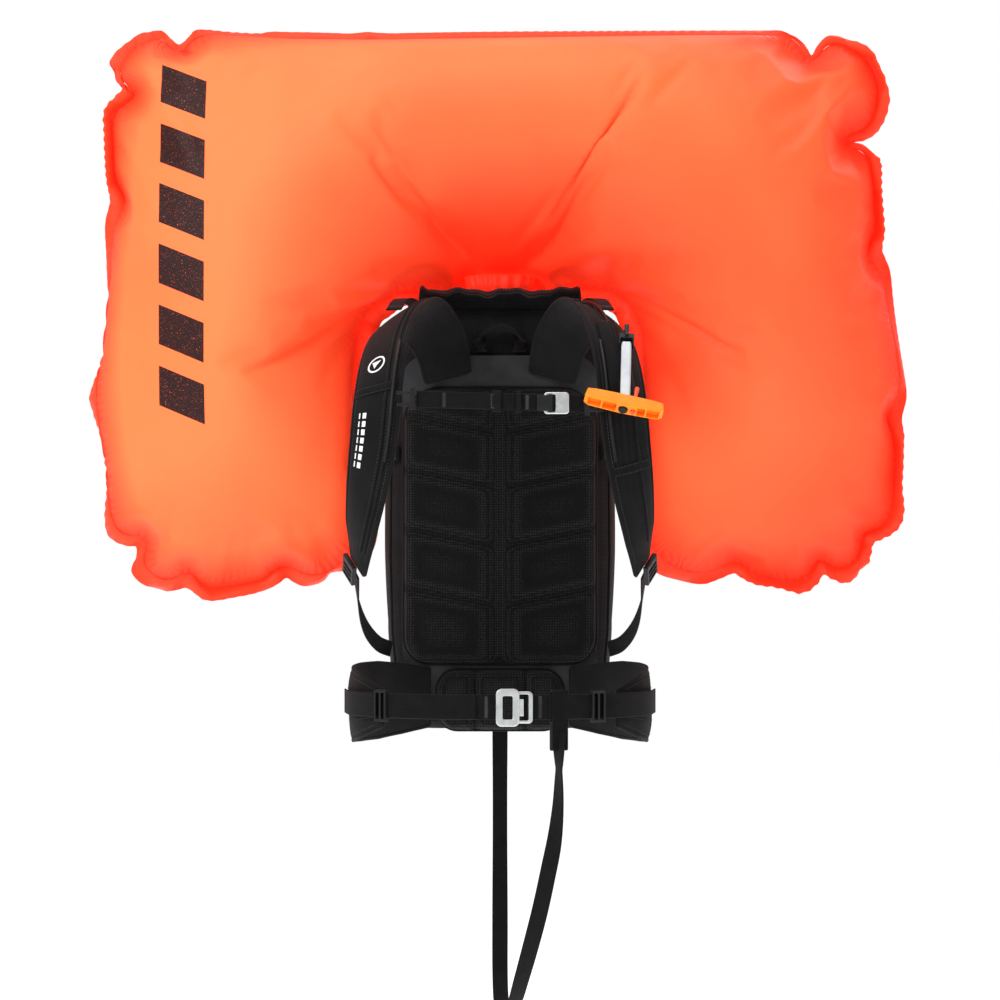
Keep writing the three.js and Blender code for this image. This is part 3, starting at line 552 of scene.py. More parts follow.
SHEET_PLASTIC = plastic("sheet_plastic", (0.0210, 0.0210, 0.0231), (0.0126, 0.0126, 0.0139), 0.5)
ORANGE = plastic("orange_plastic", (0.98, 0.26, 0.010), (0.92, 0.21, 0.008), 0.45)
CORAL = plastic("coral_plastic", (0.92, 0.10, 0.04), (0.75, 0.06, 0.025), 0.38)
GREY = plastic("grey_plastic", (0.56, 0.58, 0.60), (0.45, 0.47, 0.49), 0.5)
ALUMINIUM = metal("aluminium", (0.60, 0.62, 0.62), (0.50, 0.52, 0.52), 0.36)
STEEL = metal("steel", (0.50, 0.51, 0.52), (0.36, 0.37, 0.38), 0.28)
CARTRIDGE_PAINT = plastic("cartridge_paint", (0.0084, 0.0088, 0.0097), (0.0059, 0.0063, 0.0067), 0.28,
                          coat=0.5)
PRINT_WHITE = plastic("print_white", (0.80, 0.80, 0.80), (0.70, 0.70, 0.70), 0.55)


# ------------------------------------------------------------------ airbag
BAG_STEP = 0.0125
BAG_CUT = (  # right half of the flat cut's seam, from the top: x, z and the corner's radius
    (0.51, 0.765, 0.115), (0.634, 0.30, 0.30), (0.655, 0.02, 0.150), (0.335, -0.045, 0.10),
    (0.165, 0.285, 0.12),
)
BAG_FOLDS = (  # where the seam buckles when the bag fills: a point on the flat seam, how deep, how wide
    (-0.42, 0.765, 0.016, 0.018), (-0.50, 0.68, 0.022, 0.022), (-0.555, 0.54, 0.006, 0.020),
    (-0.655, 0.07, 0.020, 0.022), (-0.57, 0.0, 0.016, 0.020), (-0.44, -0.03, 0.012, 0.022),
    (0.41, 0.765, 0.022, 0.020), (0.53, 0.62, 0.022, 0.022), (0.57, 0.47, 0.007, 0.020),
    (0.65, 0.25, 0.005, 0.020), (0.66, 0.07, 0.014, 0.022), (0.59, 0.0, 0.018, 0.020),
    (0.46, -0.03, 0.012, 0.022),
)
NECK = Vector((0, 0.083, 0.285))


def rounded(corners, step):
    """Evenly spaced points on a polygon with rounded corners, given as (x, z, radius)."""
    points = []
    count = len(corners)
    for i, (x, z, radius) in enumerate(corners):
        here = np.array((x, z))
        back = unit(np.array(corners[i - 1][:2]) - here)
        on = unit(np.array(corners[(i + 1) % count][:2]) - here)
        half = math.acos(max(-1, min(1, float(back @ on)))) / 2
        centre = here + unit(back + on) * radius / math.sin(half)
        reach = radius / math.tan(half)
        (x0, z0), (x1, z1) = here + back * reach - centre, here + on * reach - centre
        first = math.atan2(z0, x0)
        turn = (math.atan2(z1, x1) - first + math.pi) % (2 * math.pi) - math.pi
        for angle in first + turn * np.linspace(0, 1, 24):
            points.append(centre + radius * np.array((math.cos(angle), math.sin(angle))))
    line = np.array(points + [points[0]])
    line = np.column_stack([line, np.zeros(len(line))])
    return evenly(line, max(8, round(length_of(line) / step)) + 1)[:-1, :2]


def inside(points, loop):
    """Which points lie inside a closed loop."""
    x, y = points[:, 0:1], points[:, 1:2]
    x0, y0 = loop[:, 0], loop[:, 1]
    x1, y1 = np.roll(x0, -1), np.roll(y0, -1)
    over = (y0 > y) != (y1 > y)
    at = x0 + (y - y0) / np.where(y1 == y0, 1e-12, y1 - y0) * (x1 - x0)
    return (over & (x < at)).sum(axis=1) % 2 == 1


def bag_cut():
    """The bag's flat cut, in x and z: its seam, the middle and edge of the flange, and a lattice inside."""
    mirrored = [(-x, z, r) for x, z, r in BAG_CUT]
    seam = rounded(mirrored + list(reversed(BAG_CUT)), BAG_STEP)
    tangent = unit(np.roll(seam, -1, axis=0) - np.roll(seam, 1, axis=0))
    out = np.column_stack([tangent[:, 1], -tangent[:, 0]])
    for x, z, deep, wide in BAG_FOLDS:
        place = seam[np.argmin(np.linalg.norm(seam - (x, z), axis=1))]
        near = np.exp(-(np.linalg.norm(seam - place, axis=1) / wide) ** 2)
        seam = seam - out * (deep * near)[:, None]
    wide = 0.0135 + 0.0075 * np.clip(np.abs(out[:, 0]) * 1.6, 0, 1) + 0.004 * (out[:, 1] < -0.5)
    row = BAG_STEP * math.sqrt(3) / 2
    lattice = np.array([((i + (j % 2) / 2) * BAG_STEP, j * row)
                        for j in range(-20, 80) for i in range(-60, 60)])
    lattice = lattice[inside(lattice, seam)]
    far = np.array([np.linalg.norm(seam - p, axis=1).min() for p in lattice])
    lattice = lattice[far > BAG_STEP * 0.6]
    return seam, seam + out * wide[:, None] / 2, seam + out * wide[:, None], lattice


def add_airbag():
    seam, middle, edge, lattice = bag_cut()
    n, m = len(seam), len(lattice)
    points = np.vstack([seam, lattice])
    outline = [list(range(n))]
    panel = geometry.delaunay_2d_cdt([Vector(p) for p in points], [], outline, 1, 1e-7)[2]
    flat = np.vstack([seam, lattice, lattice, middle, edge])
    off = np.concatenate([np.zeros(n), np.full(m, -0.0012), np.full(m, 0.0012), np.zeros(2 * n)])
    co = np.column_stack([flat[:, 0], BAG_PLANE + off, flat[:, 1]])
    front = [tuple(f) for f in panel]
    back = [tuple(v if v < n else v + m for v in f[::-1]) for f in front]
    first = n + 2 * m
    flange = []
    for i in range(n):
        j = (i + 1) % n
        flange += [(i, j, first + j, first + i), (first + i, first + j, first + n + j, first + n + i)]
    mesh = bpy.data.meshes.new("airbag_cloth")
    mesh.from_pydata(co.tolist(), [], front + back + flange)
    bag = bpy.data.objects.new("airbag_cloth", mesh)
    bpy.context.scene.collection.objects.link(bag)
    bag.vertex_groups.new(name="gas").add(list(range(n, first)), 1.0, "REPLACE")
    held = [i for i in range(first) if math.hypot(flat[i][0], flat[i][1] - NECK.z) < 0.05]
    bag.vertex_groups.new(name="neck").add(held, 1.0, "REPLACE")
    inflate(bag, 40, 8.0, tension=50, bending=0.3, group="gas", pins="neck", mass=0.1)
    bag.data.vertices.foreach_get("co", co := np.empty(len(flat) * 3))
    co = co.reshape(-1, 3)
    bpy.data.objects.remove(bag)

    shell = bpy.data.meshes.new("airbag")
    shell.from_pydata(co[:first].tolist(), [], front + back)
    near = np.array([np.linalg.norm(seam - p, axis=1) for p in flat[:first]])
    for name, values in (("edge", near.min(axis=1)), ("run", near.argmin(axis=1) * BAG_STEP)):
        shell.attributes.new(name, "FLOAT", "POINT").data.foreach_set("value", values)
    corner = np.empty(len(shell.loops), int)
    shell.loops.foreach_get("vertex_index", corner)
    shell.uv_layers.new(name="cloth").data.foreach_set("uv", flat[corner].ravel())
    crease = shell.attributes.new("crease_edge", "FLOAT", "EDGE")
    for line in shell.edges:
        if max(line.vertices) < n:
            crease.data[line.index].value = 1.0
            line.use_edge_sharp = True
    fix_normals(shell)
    airbag = new_object("airbag", shell, AIRBAG, "pack")
    subdivide(airbag)
    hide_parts("airbag_bar", "airbag_lobe_left", "airbag_lobe_right")
    add_flange(co[:n], co[first:first + n], co[first + n:])


def closed_line(loop, times):
    """A closed loop of points with times as many points, on a smooth curve."""
    before, on, after = np.roll(loop, 1, axis=0), np.roll(loop, -1, axis=0), np.roll(loop, -2, axis=0)
    out = []
    for t in np.arange(times) / times:
        out.append(0.5 * (2 * loop + (on - before) * t + (2 * before - 5 * loop + 4 * on - after) * t**2
                          + (3 * loop - before - 3 * on + after) * t**3))
    return np.stack(out, axis=1).reshape(-1, 3)


def add_flange(seam, middle, edge):
    """The doubled seam allowance that stands out all round the bag, with its small puckers."""
    times = 4
    seam, middle, edge = (closed_line(line, times) for line in (seam, middle, edge))
    run = np.concatenate([[0], np.cumsum(np.linalg.norm(np.diff(seam, axis=0), axis=1))])
    out = unit(edge - seam)
    along = unit(np.roll(seam, -1, axis=0) - np.roll(seam, 1, axis=0))
    side = unit(np.cross(along, out))
    wave = np.sin(run * 2 * math.pi / 0.0123 + 2.2 * np.sin(run * 23)) * (0.6 + 0.4 * np.sin(run * 11))
    seam = seam - out * 0.0015
    thick = 0.0007
    rings = []
    for sign in (1, -1):
        for line, amount in ((seam, 0.0), (middle, 0.5), (edge, 1.0))[::sign]:
            swing = 0.0009 * amount * wave + sign * thick
            rings.append(line + side * swing[:, None] + out * (0.0006 * amount * wave)[:, None])
    rings = np.stack(rings, axis=1)
    rings = np.concatenate([rings, rings[:1]])
    obj = skin("airbag_flange", rings, FLANGE, "pack", caps=False)
    weld(obj)


def weld(obj):
    """Joins the two ends of a skin that runs round in a loop."""
    shape = bmesh.new()
    shape.from_mesh(obj.data)
    bmesh.ops.remove_doubles(shape, verts=shape.verts, dist=1e-7)
    bmesh.ops.recalc_face_normals(shape, faces=shape.faces)
    shape.to_mesh(obj.data)
    shape.free()


def add_neck():
    """The gathered sleeve that joins the bag to the inlet collar."""
    turn = np.linspace(0, 2 * math.pi, 96, endpoint=False)
    rings = []
    for z, radius, pleat in ((0.2665, 0.0335, 0.0004), (0.272, 0.0338, 0.0008), (0.280, 0.0345, 0.0016),
                             (0.290, 0.0365, 0.0026), (0.302, 0.040, 0.0030), (0.318, 0.045, 0.0020)):
        r = radius + pleat * np.sin(18 * turn + 1.3 * np.sin(3 * turn))
        rings.append(np.column_stack([NECK.x + r * np.cos(turn), NECK.y + r * np.sin(turn), np.full(96, z)]))
    sleeve = skin("airbag_neck", rings + [ring - (0, 0, 0.0012) for ring in rings[::-1]],
                  FLANGE, "pack", caps=False)
    inner = np.array([v.co for v in sleeve.data.vertices]).reshape(-1, 96, 3)
    middle = np.array((NECK.x, NECK.y, 0))
    inner[6:] = middle * (1, 1, 0) + (inner[6:] - middle) * (0.96, 0.96, 1) + (0, 0, 0.0012)
    sleeve.data.vertices.foreach_set("co", inner.ravel())
    weld(sleeve)


add_airbag()
add_neck()


# ------------------------------------------------------------------ making pads, hardware and trim
def grid_of(obj, rows):
    return np.array([v.co for v in obj.data.vertices]).reshape(rows, -1, 3)


def pad(name, line, away, widths, thick, material, body, across=30, rows=110, shape=None):
    """A padded band along a line in metres, its edges sewn flat and its faces filled by cloth."""
    line = evenly(line, rows)
    out, side = frames(line, away)
    width = spread(widths, rows) * MM / 2
    from_end = np.minimum(np.arange(rows), np.arange(rows)[::-1])
    ends = np.minimum(1, from_end / 5 + 0.25)
    a = np.sin(np.linspace(-1, 1, across) * math.pi / 2)
    crown = (1 - np.abs(a) ** 3.2) * 0.5
    rim = 0.0015
    height = rim + ends[:, None] * crown[None] * (thick * MM - 2 * rim) * 0.92
    top = np.stack([a[None] * width[:, None], height], axis=2)
    low = np.stack([a[None] * width[:, None], -height], axis=2)[:, ::-1]
    section = np.concatenate([top, low], axis=1)
    rings = line[:, None] + section[..., 0:1] * side[:, None] + section[..., 1:2] * out[:, None]
    obj = skin(name, rings, material, body)
    pins = obj.vertex_groups.new(name="sewn")
    count = 2 * across
    edges = [i * count + j for i in range(rows) for j in (0, 1, across - 2, across - 1, across, across + 1,
                                                         count - 2, count - 1)]
    edges += list(range(2 * count)) + list(range((rows - 2) * count, rows * count))
    pins.add(sorted(set(edges)), 1.0, "REPLACE")
    inflate(obj, 9, 4.0, tension=12, bending=1.0, cap=0.004, pins="sewn")
    if shape is not None:
        points = grid_of(obj, rows)
        lift = shape(np.linspace(0, 1, rows)[:, None], a[None])
        points[:, :across] += lift[..., None] * out[:, None]
        obj.data.vertices.foreach_set("co", points.ravel())
        obj.data.update()
    obj.vertex_groups.clear()
    subdivide(obj)
    return obj


def spread(values, count):
    """The same list of numbers or vectors, read off at count evenly spaced places."""
    values = np.array(values, float)
    at, known = np.linspace(0, 1, count), np.linspace(0, 1, len(values))
    if values.ndim == 1:
        return np.interp(at, known, values)
    return np.stack([np.interp(at, known, column) for column in values.T], axis=1)


def binding(name, line, away, widths, body, radius=0.0024):
    """The folded tape sewn round a pad's edge."""
    line = evenly(line, 90)
    out, side = frames(line, away)
    width = spread(widths, 90) * MM / 2
    right, left = line + side * width[:, None], line - side * width[:, None]
    path = evenly(np.vstack([right, left[::-1], right[:1]]), 260)
    turn = np.linspace(0, 2 * math.pi, 10, endpoint=False)
    away_loop = spread(np.vstack([out, out[::-1]]), 260)
    tangent = unit(np.gradient(path, axis=0))
    up = unit(away_loop - (away_loop * tangent).sum(axis=1, keepdims=True) * tangent)
    sideways = np.cross(tangent, up)
    rings = (path[:, None] + 1.25 * radius * np.cos(turn)[None, :, None] * sideways[:, None]
             + radius * np.sin(turn)[None, :, None] * up[:, None])
    return skin(name, rings, BINDING, body)


def strip(name, line, away, width, thick, material, body):
    """Tape or webbing along a line in metres, its width and thickness in metres too."""
    obj = skin(name, cross_section(line, away, web_section(width, thick)), material, body)
    return obj


def soften(node, material, voxel=0.0006, rounds=4):
    """Rounds the edges of a CAD node's moulded or cast shape, and gives it a material."""
    obj = frame["nodes"][node]
    if voxel:
        remesh = obj.modifiers.new("voxels", "REMESH")
        remesh.mode = "VOXEL"
        remesh.voxel_size = voxel
        remesh.use_smooth_shade = True
        smooth = obj.modifiers.new("ease", "SMOOTH")
        smooth.factor, smooth.iterations = 0.5, rounds
    for slot in obj.material_slots:
        slot.material = material
    return obj


def paint(node, material):
    """Gives a CAD node a material."""
    return soften(node, material, voxel=0)


def tree_of(obj):
    """A search tree over a piece's faces, to lay trim on it."""
    mesh = obj.data
    faces = [tuple(p.vertices) for p in mesh.polygons]
    return BVHTree.FromPolygons([v.co.copy() for v in mesh.vertices], faces)


def lay(tree, points, out, lift):
    """Points moved along out onto a piece's outer face, and off it by lift."""
    laid = []
    for p, o in zip(points, np.broadcast_to(out, np.shape(points))):
        hit = tree.ray_cast(Vector(p) + Vector(o) * 0.03, -Vector(o), 0.06)[0]
        laid.append((np.array(hit) if hit is not None else np.array(p)) + np.array(o) * lift)
    return np.array(laid)


def circle(radius, count=48):
    turn = np.linspace(0, 2 * math.pi, count, endpoint=False)
    return [(radius * math.cos(t), radius * math.sin(t)) for t in turn]


def decal(name, outline, centre, right, up, tree, material, body, hole=None, thick=0.00035):
    """A thin printed shape laid on a piece: outline and hole are in metres in the plane of right and up."""
    out = unit(np.cross(right, up))
    loops = [np.array(outline)] + ([np.array(hole)] if hole is not None else [])
    places = [centre + loop[:, 0:1] * right + loop[:, 1:2] * up for loop in loops]
    top = [lay(tree, place, out, thick) for place in places]
    low = [lay(tree, place, out, -thick) for place in places]
    shape = bmesh.new()
    n = len(outline)
    if hole is not None:
        rings = [[shape.verts.new(p) for p in ring] for ring in (top[0], top[1], low[1], low[0])]
        for a, b in zip(rings, rings[1:] + rings[:1]):
            for i in range(n):
                shape.faces.new((a[i], a[(i + 1) % n], b[(i + 1) % n], b[i]))
    else:
        a, b = ([shape.verts.new(p) for p in ring] for ring in (top[0], low[0]))
        shape.faces.new(a)
        shape.faces.new(b[::-1])
        for i in range(n):
            shape.faces.new((a[i], b[i], b[(i + 1) % n], a[(i + 1) % n]))
    bmesh.ops.recalc_face_normals(shape, faces=shape.faces)
    mesh = bpy.data.meshes.new(name)
    shape.to_mesh(mesh)
    shape.free()
    return new_object(name, mesh, material, body, smooth=False)


def box_template(size, bevel):
    """The points and faces of one box, its edges cut by bevel."""
    shape = bmesh.new()
    bmesh.ops.create_cube(shape, size=1, matrix=Matrix.Diagonal((*size, 1)))
    if bevel:
        bmesh.ops.bevel(shape, geom=list(shape.edges), offset=bevel, segments=1, affect="EDGES")
    points = np.array([v.co for v in shape.verts])
    shape.verts.index_update()
    faces = [[v.index for v in f.verts] for f in shape.faces]
    shape.free()
    return points, faces


def blocks(name, places, sizes, material, body, bevel=0.0):
    """Many small boxes in one mesh, such as zip teeth: a place is (centre, x axis, y axis, z axis)."""
    templates = {size: box_template(size, bevel) for size in set(sizes)}
    points, faces, total = [], [], 0
    for (centre, *axes), size in zip(places, sizes):
        base, loops = templates[size]
        start, total = total, total + len(base)
        points.append(base @ np.array(axes, float) + np.array(centre, float))
        faces += [[start + i for i in loop] for loop in loops]
    mesh = bpy.data.meshes.new(name)
    mesh.from_pydata(np.concatenate(points).tolist(), [], faces)
    return new_object(name, mesh, material, body, smooth=False)


def stitches(name, line, out, body, length=0.0026, gap=0.0016, radius=0.00032, material=None):
    """A row of thread stitches along a line in metres, standing just proud of a surface."""
    total = length_of(line)
    count = max(2, int(total / (length + gap)))
    points = evenly(line, count * 8)
    outs = np.broadcast_to(out, line.shape)
    outs = spread(outs, len(points))
    tangent = unit(np.gradient(points, axis=0))
    places, sizes = [], []
    for i in range(count):
        at = i * 8 + 3
        t, o = tangent[at], outs[at]
        o = unit(o - (o @ t) * t)
        places.append((points[at], t, np.cross(o, t), o))
        sizes.append((length, 2 * radius, 2 * radius))
    return blocks(name, places, sizes, material or THREAD, body, bevel=radius * 0.6)


def bar_tack(name, centre, across, along, width, body, rows=3):
    """A dense zigzag of thread across a strap."""
    out = unit(np.cross(across, along))
    places, sizes = [], []
    for k in range(rows):
        base = centre + along * (k - (rows - 1) / 2) * 0.0013
        count = int(width / 0.0011)
        for i in range(count):
            lean = unit(along + across * (0.5 if i % 2 else -0.5))
            places.append((base + across * ((i + 0.5) / count - 0.5) * width, lean, np.cross(out, lean), out))
            sizes.append((0.0021, 0.0006, 0.0006))
    return blocks(name, places, sizes, THREAD, body)


THREAD = fabric("thread", (0.03, 0.03, 0.032), (0.06, 0.06, 0.062), 0.0004, on_uv=False)


# ------------------------------------------------------------------ harness
def side_points(points, side):
    return [(side * x, y, z) for x, y, z in points]


def strap_place(line, outs, acrosses, u, a):
    """A point at u along a strap and a metres across it, with its unit vectors along, across and out."""
    at = u * (len(line) - 1)
    i = min(int(at), len(line) - 2)
    f = at - i
    mix = lambda v: v[i] * (1 - f) + v[i + 1] * f
    o, s = unit(mix(outs)), unit(mix(acrosses))
    return mix(line) + s * a, np.cross(s, o), s, o


def add_shoulder_straps():
    for name, side in SIDES:
        line = smooth_line(side_points(STRAP, side), 160)
        outs, acrosses = frames(line, away_from_wearer)
        inner = side  # across looks inward on the left strap, and outward on the right one

        def folds(u, a, inner=inner, name=name):
            if name == "right":
                return 0.0005 * np.sin(2.5 * a + 9 * u) * (1 - a**4)
            ease = np.clip((u - 0.16) / 0.1, 0, 1) * np.clip((0.86 - u) / 0.12, 0, 1)
            across = a * inner
            ridge = np.sin((across + 0.10 * np.sin(4.3 * u)) * 21 + 1.5)
            ridge = ridge * np.clip((across + 0.25) / 0.25, 0, 1)
            return 0.0013 * ridge * ease * np.clip((0.97 - np.abs(a)) / 0.12, 0, 1)

        strap = pad("shoulder_strap_" + name + "_body", line, away_from_wearer, STRAP_WIDTHS, STRAP_THICK,
                    STRAP_CLOTH, "pack", across=30, rows=110, shape=folds)
        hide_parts("shoulder_strap_" + name)
        binding("shoulder_strap_" + name + "_binding", line, away_from_wearer, STRAP_WIDTHS, "pack")
        tree = tree_of(strap)
        widths = spread(STRAP_WIDTHS, 160) * MM / 2
        lanes = (0.52, 0.74) if name == "right" else (-0.30,)
        for k, lane in enumerate(lanes):
            run = line + acrosses * (widths * lane * inner)[:, None]
            run = lay(tree, run[6:150], outs[6:150], 0.0004)
            tube(f"strap_piping_{name}_{k}", run, 0.0013, CORD, "pack", sides=8)
            stitches(f"strap_stitch_{name}_{k}", run - acrosses[6:150] * inner * 0.003, outs[6:150], "pack")
        for lane in (-0.86, 0.90):
            run = line + acrosses * (widths * lane * inner)[:, None]
            run = lay(tree, run[4:154], outs[4:154], 0.0002)
            where = "outer" if lane < 0 else "inner"
            stitches(f"strap_edge_stitch_{name}_{where}", run, outs[4:154], "pack")
        for k, u in enumerate((0.60,) if name == "right" else (0.30, 0.76)):
            p, t, s, o = strap_place(line, outs, acrosses, u, 0)
            half = np.interp(u, np.linspace(0, 1, 160), widths) * 0.93
            row = np.array([p + s * x for x in np.linspace(-half, half, 26)])
            row = lay(tree, row, o, 0.0006)
            strip(f"strap_tape_{name}_{k}", row, facing(*o), 0.012, 0.0012, WEBBING, "pack")
            for edge in (-0.0045, 0.0045):
                label = f"strap_tape_stitch_{name}_{k}_{'a' if edge < 0 else 'b'}"
                stitches(label, row + t * edge + o * 0.0007, o, "pack")
        if name == "right":
            add_marks(line, outs, acrosses, tree)
        lower = smooth_line(side_points(LOWER_WEB, side), 60)
        web = webbing("lower_web_" + name + "_strap", lower, 20, "pack", away_from_wearer, lift=3)
        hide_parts("lower_web_" + name)
        lifter = smooth_line(side_points(LOAD_LIFTER, side), 60)
        web = webbing("load_lifter_" + name + "_strap", lifter, 20, "pack", facing(0, 0.2, 1))
        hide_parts("load_lifter_" + name)
        o, s = frames(lifter, facing(0, 0.2, 1))
        t = unit(np.gradient(lifter, axis=0))
        bar_tack(f"load_lifter_tack_{name}", lifter[4] + o[4] * 0.0011, s[4], t[4], 0.016, "pack")
        soften("ladder_lock_" + name, BLACK_PLASTIC)
        soften("chest_rail_" + name, BLACK_PLASTIC, voxel=0.0005)


def add_marks(line, outs, acrosses, tree):
    """A plain ring badge and a slanted row of dashes on the wearer's right strap, in place of printing."""
    p, t, s, _ = strap_place(line, outs, acrosses, 0.535, 0.004)
    decal("badge_ring", circle(0.0128), p, s, -t, tree, PRINT_WHITE, "pack", hole=circle(0.0104))
    peak = [(-0.0065, -0.0045), (0.0065, -0.0045), (0.0022, 0.0062), (-0.0006, 0.0018)]
    decal("badge_peak", peak, p, s, -t, tree, PRINT_WHITE, "pack")
    for k, u in enumerate(np.linspace(0.655, 0.76, 7)):
        for lane, size in ((0.012, 0.0052), (0.0195, 0.0018)):
            p, t, s, _ = strap_place(line, outs, acrosses, u, lane)
            slant = [(-size / 2, -0.0036), (size / 2, -0.0036), (size / 2, 0.0032), (-size / 2, 0.0032)]
            label = f"dash_{k}_{'wide' if size > 0.003 else 'fine'}"
            decal(label, slant, p, s, -t, tree, PRINT_WHITE, "pack")


CHEST_Z, CHEST_SLOPE = 147, -0.03
CHEST_LINE = [(-99, -291), (-50, -296.5), (0, -299), (47, -298)]
CHEST_LEFT = [(84, -295.5), (99, -292)]


def add_chest_strap():
    forward = facing(0, -1, 0)
    level = lambda pairs: [(x, y, CHEST_Z + CHEST_SLOPE * x) for x, y in pairs]
    line = smooth_line(level(CHEST_LINE), 90)
    web = webbing("chest_web_right_strap", line, 20, "chest_half", forward)
    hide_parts("chest_web_right")
    fold = evenly(line[18:56] + (0, -0.0024, 0), 40)
    strip("chest_web_tail", fold, forward, 0.0195, 0.0017, WEBBING, "chest_half")
    left = webbing("chest_web_left_strap", level(CHEST_LEFT), 20, "chest_strap", forward, count=16)
    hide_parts("chest_web_left")
    o = np.array((0, -1.0, 0))
    for k, x in enumerate((20, 55, 80)):
        bar_tack(f"chest_tack_{k}", line[x] + o * (0.0036 if x == 20 else 0.0012 if x == 80 else 0.0036),
                 np.array((0, 0, 1.0)), np.array((1.0, 0, 0)), 0.017, "chest_half")
    for k, (at, wide) in enumerate(((58, 0.011), (74, 0.006))):
        ring = []
        for dx in np.linspace(-wide / 2, wide / 2, 7):
            p = line[at] + np.array((dx, -0.0004, 0))
            oval = [(0, -0.0034 * math.sin(a) - 0.0006, 0.0125 * math.cos(a)) for a in
                    np.linspace(0, 2 * math.pi, 28, endpoint=False)]
            swell = 1 + 0.04 * math.cos(dx / wide * math.pi)
            ring.append([p + np.array(v) * swell for v in oval])
        skin(f"chest_keeper_{k}", ring, BINDING, "chest_half")
    soften("chest_hook", BLACK_PLASTIC, 0.0005)
    soften("chest_ring", ALUMINIUM, 0.0004)
    for name, _ in SIDES:
        soften("chest_clip_" + name, BLACK_PLASTIC, 0.0005)


HIP_Z, HIP_WEB_Z = -220, -216
FIN_LINE = [(90, 8), (115, -16), (143, -50), (169, -98), (180, -148), (170, -198), (141, -240)]
FIN_HEIGHTS = (72, 84, 92, 92, 88, 72, 42)
HIP_WEB_LINE = [(190, -150), (180, -203.8), (149, -249.5), (110, -276), (60, -293.5)]


def add_hip_belt():
    for name, side in SIDES:
        body = "pack" if side == LEFT else "hip_wing"
        line = smooth_line([(side * x, y, HIP_Z) for x, y in FIN_LINE], 90)
        sag = lambda u, a: 0.0007 * np.sin(5 * u + 3 * a) * (1 - a**4)
        fin = pad("hip_fin_" + name + "_body", line, away_from_waist, FIN_HEIGHTS, 13, STRAP_CLOTH, body,
                  across=24, rows=72, shape=sag)
        edge = binding("hip_fin_" + name + "_binding", line, away_from_waist, FIN_HEIGHTS, body)
        outs, acrosses = frames(line, away_from_waist)
        tree = tree_of(fin)
        heights = spread(FIN_HEIGHTS, 90) * MM / 2
        trims = [edge]
        for k, lane in enumerate((-0.86, 0.86, -0.45, 0.45)):
            run = lay(tree, (line + acrosses * (heights * lane)[:, None])[3:86], outs[3:86], 0.0002)
            trims.append(stitches(f"hip_fin_stitch_{name}_{k}", run, outs[3:86], body))
        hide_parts("hip_fin_" + name)
        if side == RIGHT:
            for piece in (fin, *trims):
                world = piece.matrix_world.copy()
                piece.parent = None
                piece.matrix_world = world
                del piece["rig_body"]
                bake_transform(piece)

        points = [(side * x, y, HIP_WEB_Z) for x, y in HIP_WEB_LINE]
        points.append((37 if side == LEFT else -20, -298, HIP_WEB_Z))
        if side == RIGHT:
            points.append((-4, -299.5, HIP_WEB_Z))
        line = smooth_line(points, 110)
        web = webbing("hip_web_" + name + "_strap", line, 30, body, away_from_waist)
        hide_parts("hip_web_" + name)
        outs, acrosses = frames(line, away_from_waist)
        tangent = unit(np.gradient(line, axis=0))
        for k, at in enumerate((3, 104)):
            place = line[at] + outs[at] * 0.0011
            bar_tack(f"hip_web_tack_{name}_{k}", place, acrosses[at], tangent[at], 0.026, body)
        tail = (line + outs * 0.0022)[{"left": 72, "right": 51}[name]:100]
        strip(f"hip_web_tail_{name}", tail, away_from_waist, 0.0295, 0.0017, WEBBING, body)
        soften("tri_glide_" + name, BLACK_PLASTIC, 0.0005)
    soften("buckle_hook", ALUMINIUM, 0.0004)
    soften("buckle_ring", ALUMINIUM, 0.0004)


def add_leg_strap():
    route = smooth_line([(70, -291.5, -246)] + LEG_STRAP + [(0, 68.5, -258)], 250)
    away = lambda p: unit(np.stack([0 * p[:, 0], p[:, 1] + 0.11, p[:, 2] + 0.3], axis=1))
    u = np.linspace(0, 1, len(route))
    angle = -1.15 * np.clip(1 - np.abs(u - 0.05) / 0.13, 0, 1) ** 1.3
    angle = angle - 0.35 * np.sin(u * 9) * np.clip(u / 0.1, 0, 1)
    section = np.array(web_section(0.020, WEB_THICK * MM))
    c, s = np.cos(angle)[:, None], np.sin(angle)[:, None]
    turned = np.stack([section[:, 0] * c - section[:, 1] * s, section[:, 0] * s + section[:, 1] * c], axis=2)
    strap = skin("leg_strap_webbing", cross_section(route, away, turned), WEBBING, "pack")
    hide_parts("leg_strap")
    paint("leg_loop", WEBBING)


add_shoulder_straps()
add_chest_strap()
add_hip_belt()
add_leg_strap()


# ------------------------------------------------------------------ pack
LEVELS = np.array([(-262, 106, 44, 134), (-252, 122, 32, 162), (-215, 137, 26, 187), (-140, 144, 26, 203),
                   (-40, 147, 26, 209), (60, 146, 26, 205), (150, 141, 26, 192), (215, 136, 26, 173),
                   (258, 126, 30, 152), (272, 108, 40, 134)]) * MM
SQUARE = 2 / 0.42  # the exponent of the pack's rounded section
BACKWARD = facing(0, 1, 0)
AXES = np.eye(3)


def level_at(z):
    """Half width, near face and far face of the pack at a height, eased between the levels."""
    z = np.asarray(z, float)
    i = np.clip(np.searchsorted(LEVELS[:, 0], z) - 1, 0, len(LEVELS) - 2)
    low, high = LEVELS[i], LEVELS[i + 1]
    f = np.clip((z - low[..., 0]) / (high[..., 0] - low[..., 0]), 0, 1)
    return tuple(low[..., k] * (1 - f) + high[..., k] * f for k in (1, 2, 3))


def far_face(x, z):
    half, near, far = level_at(z)
    round_off = (1 - np.minimum(np.abs(x / half), 0.999) ** SQUARE) ** (1 / SQUARE)
    return (near + far) / 2 + (far - near) / 2 * round_off


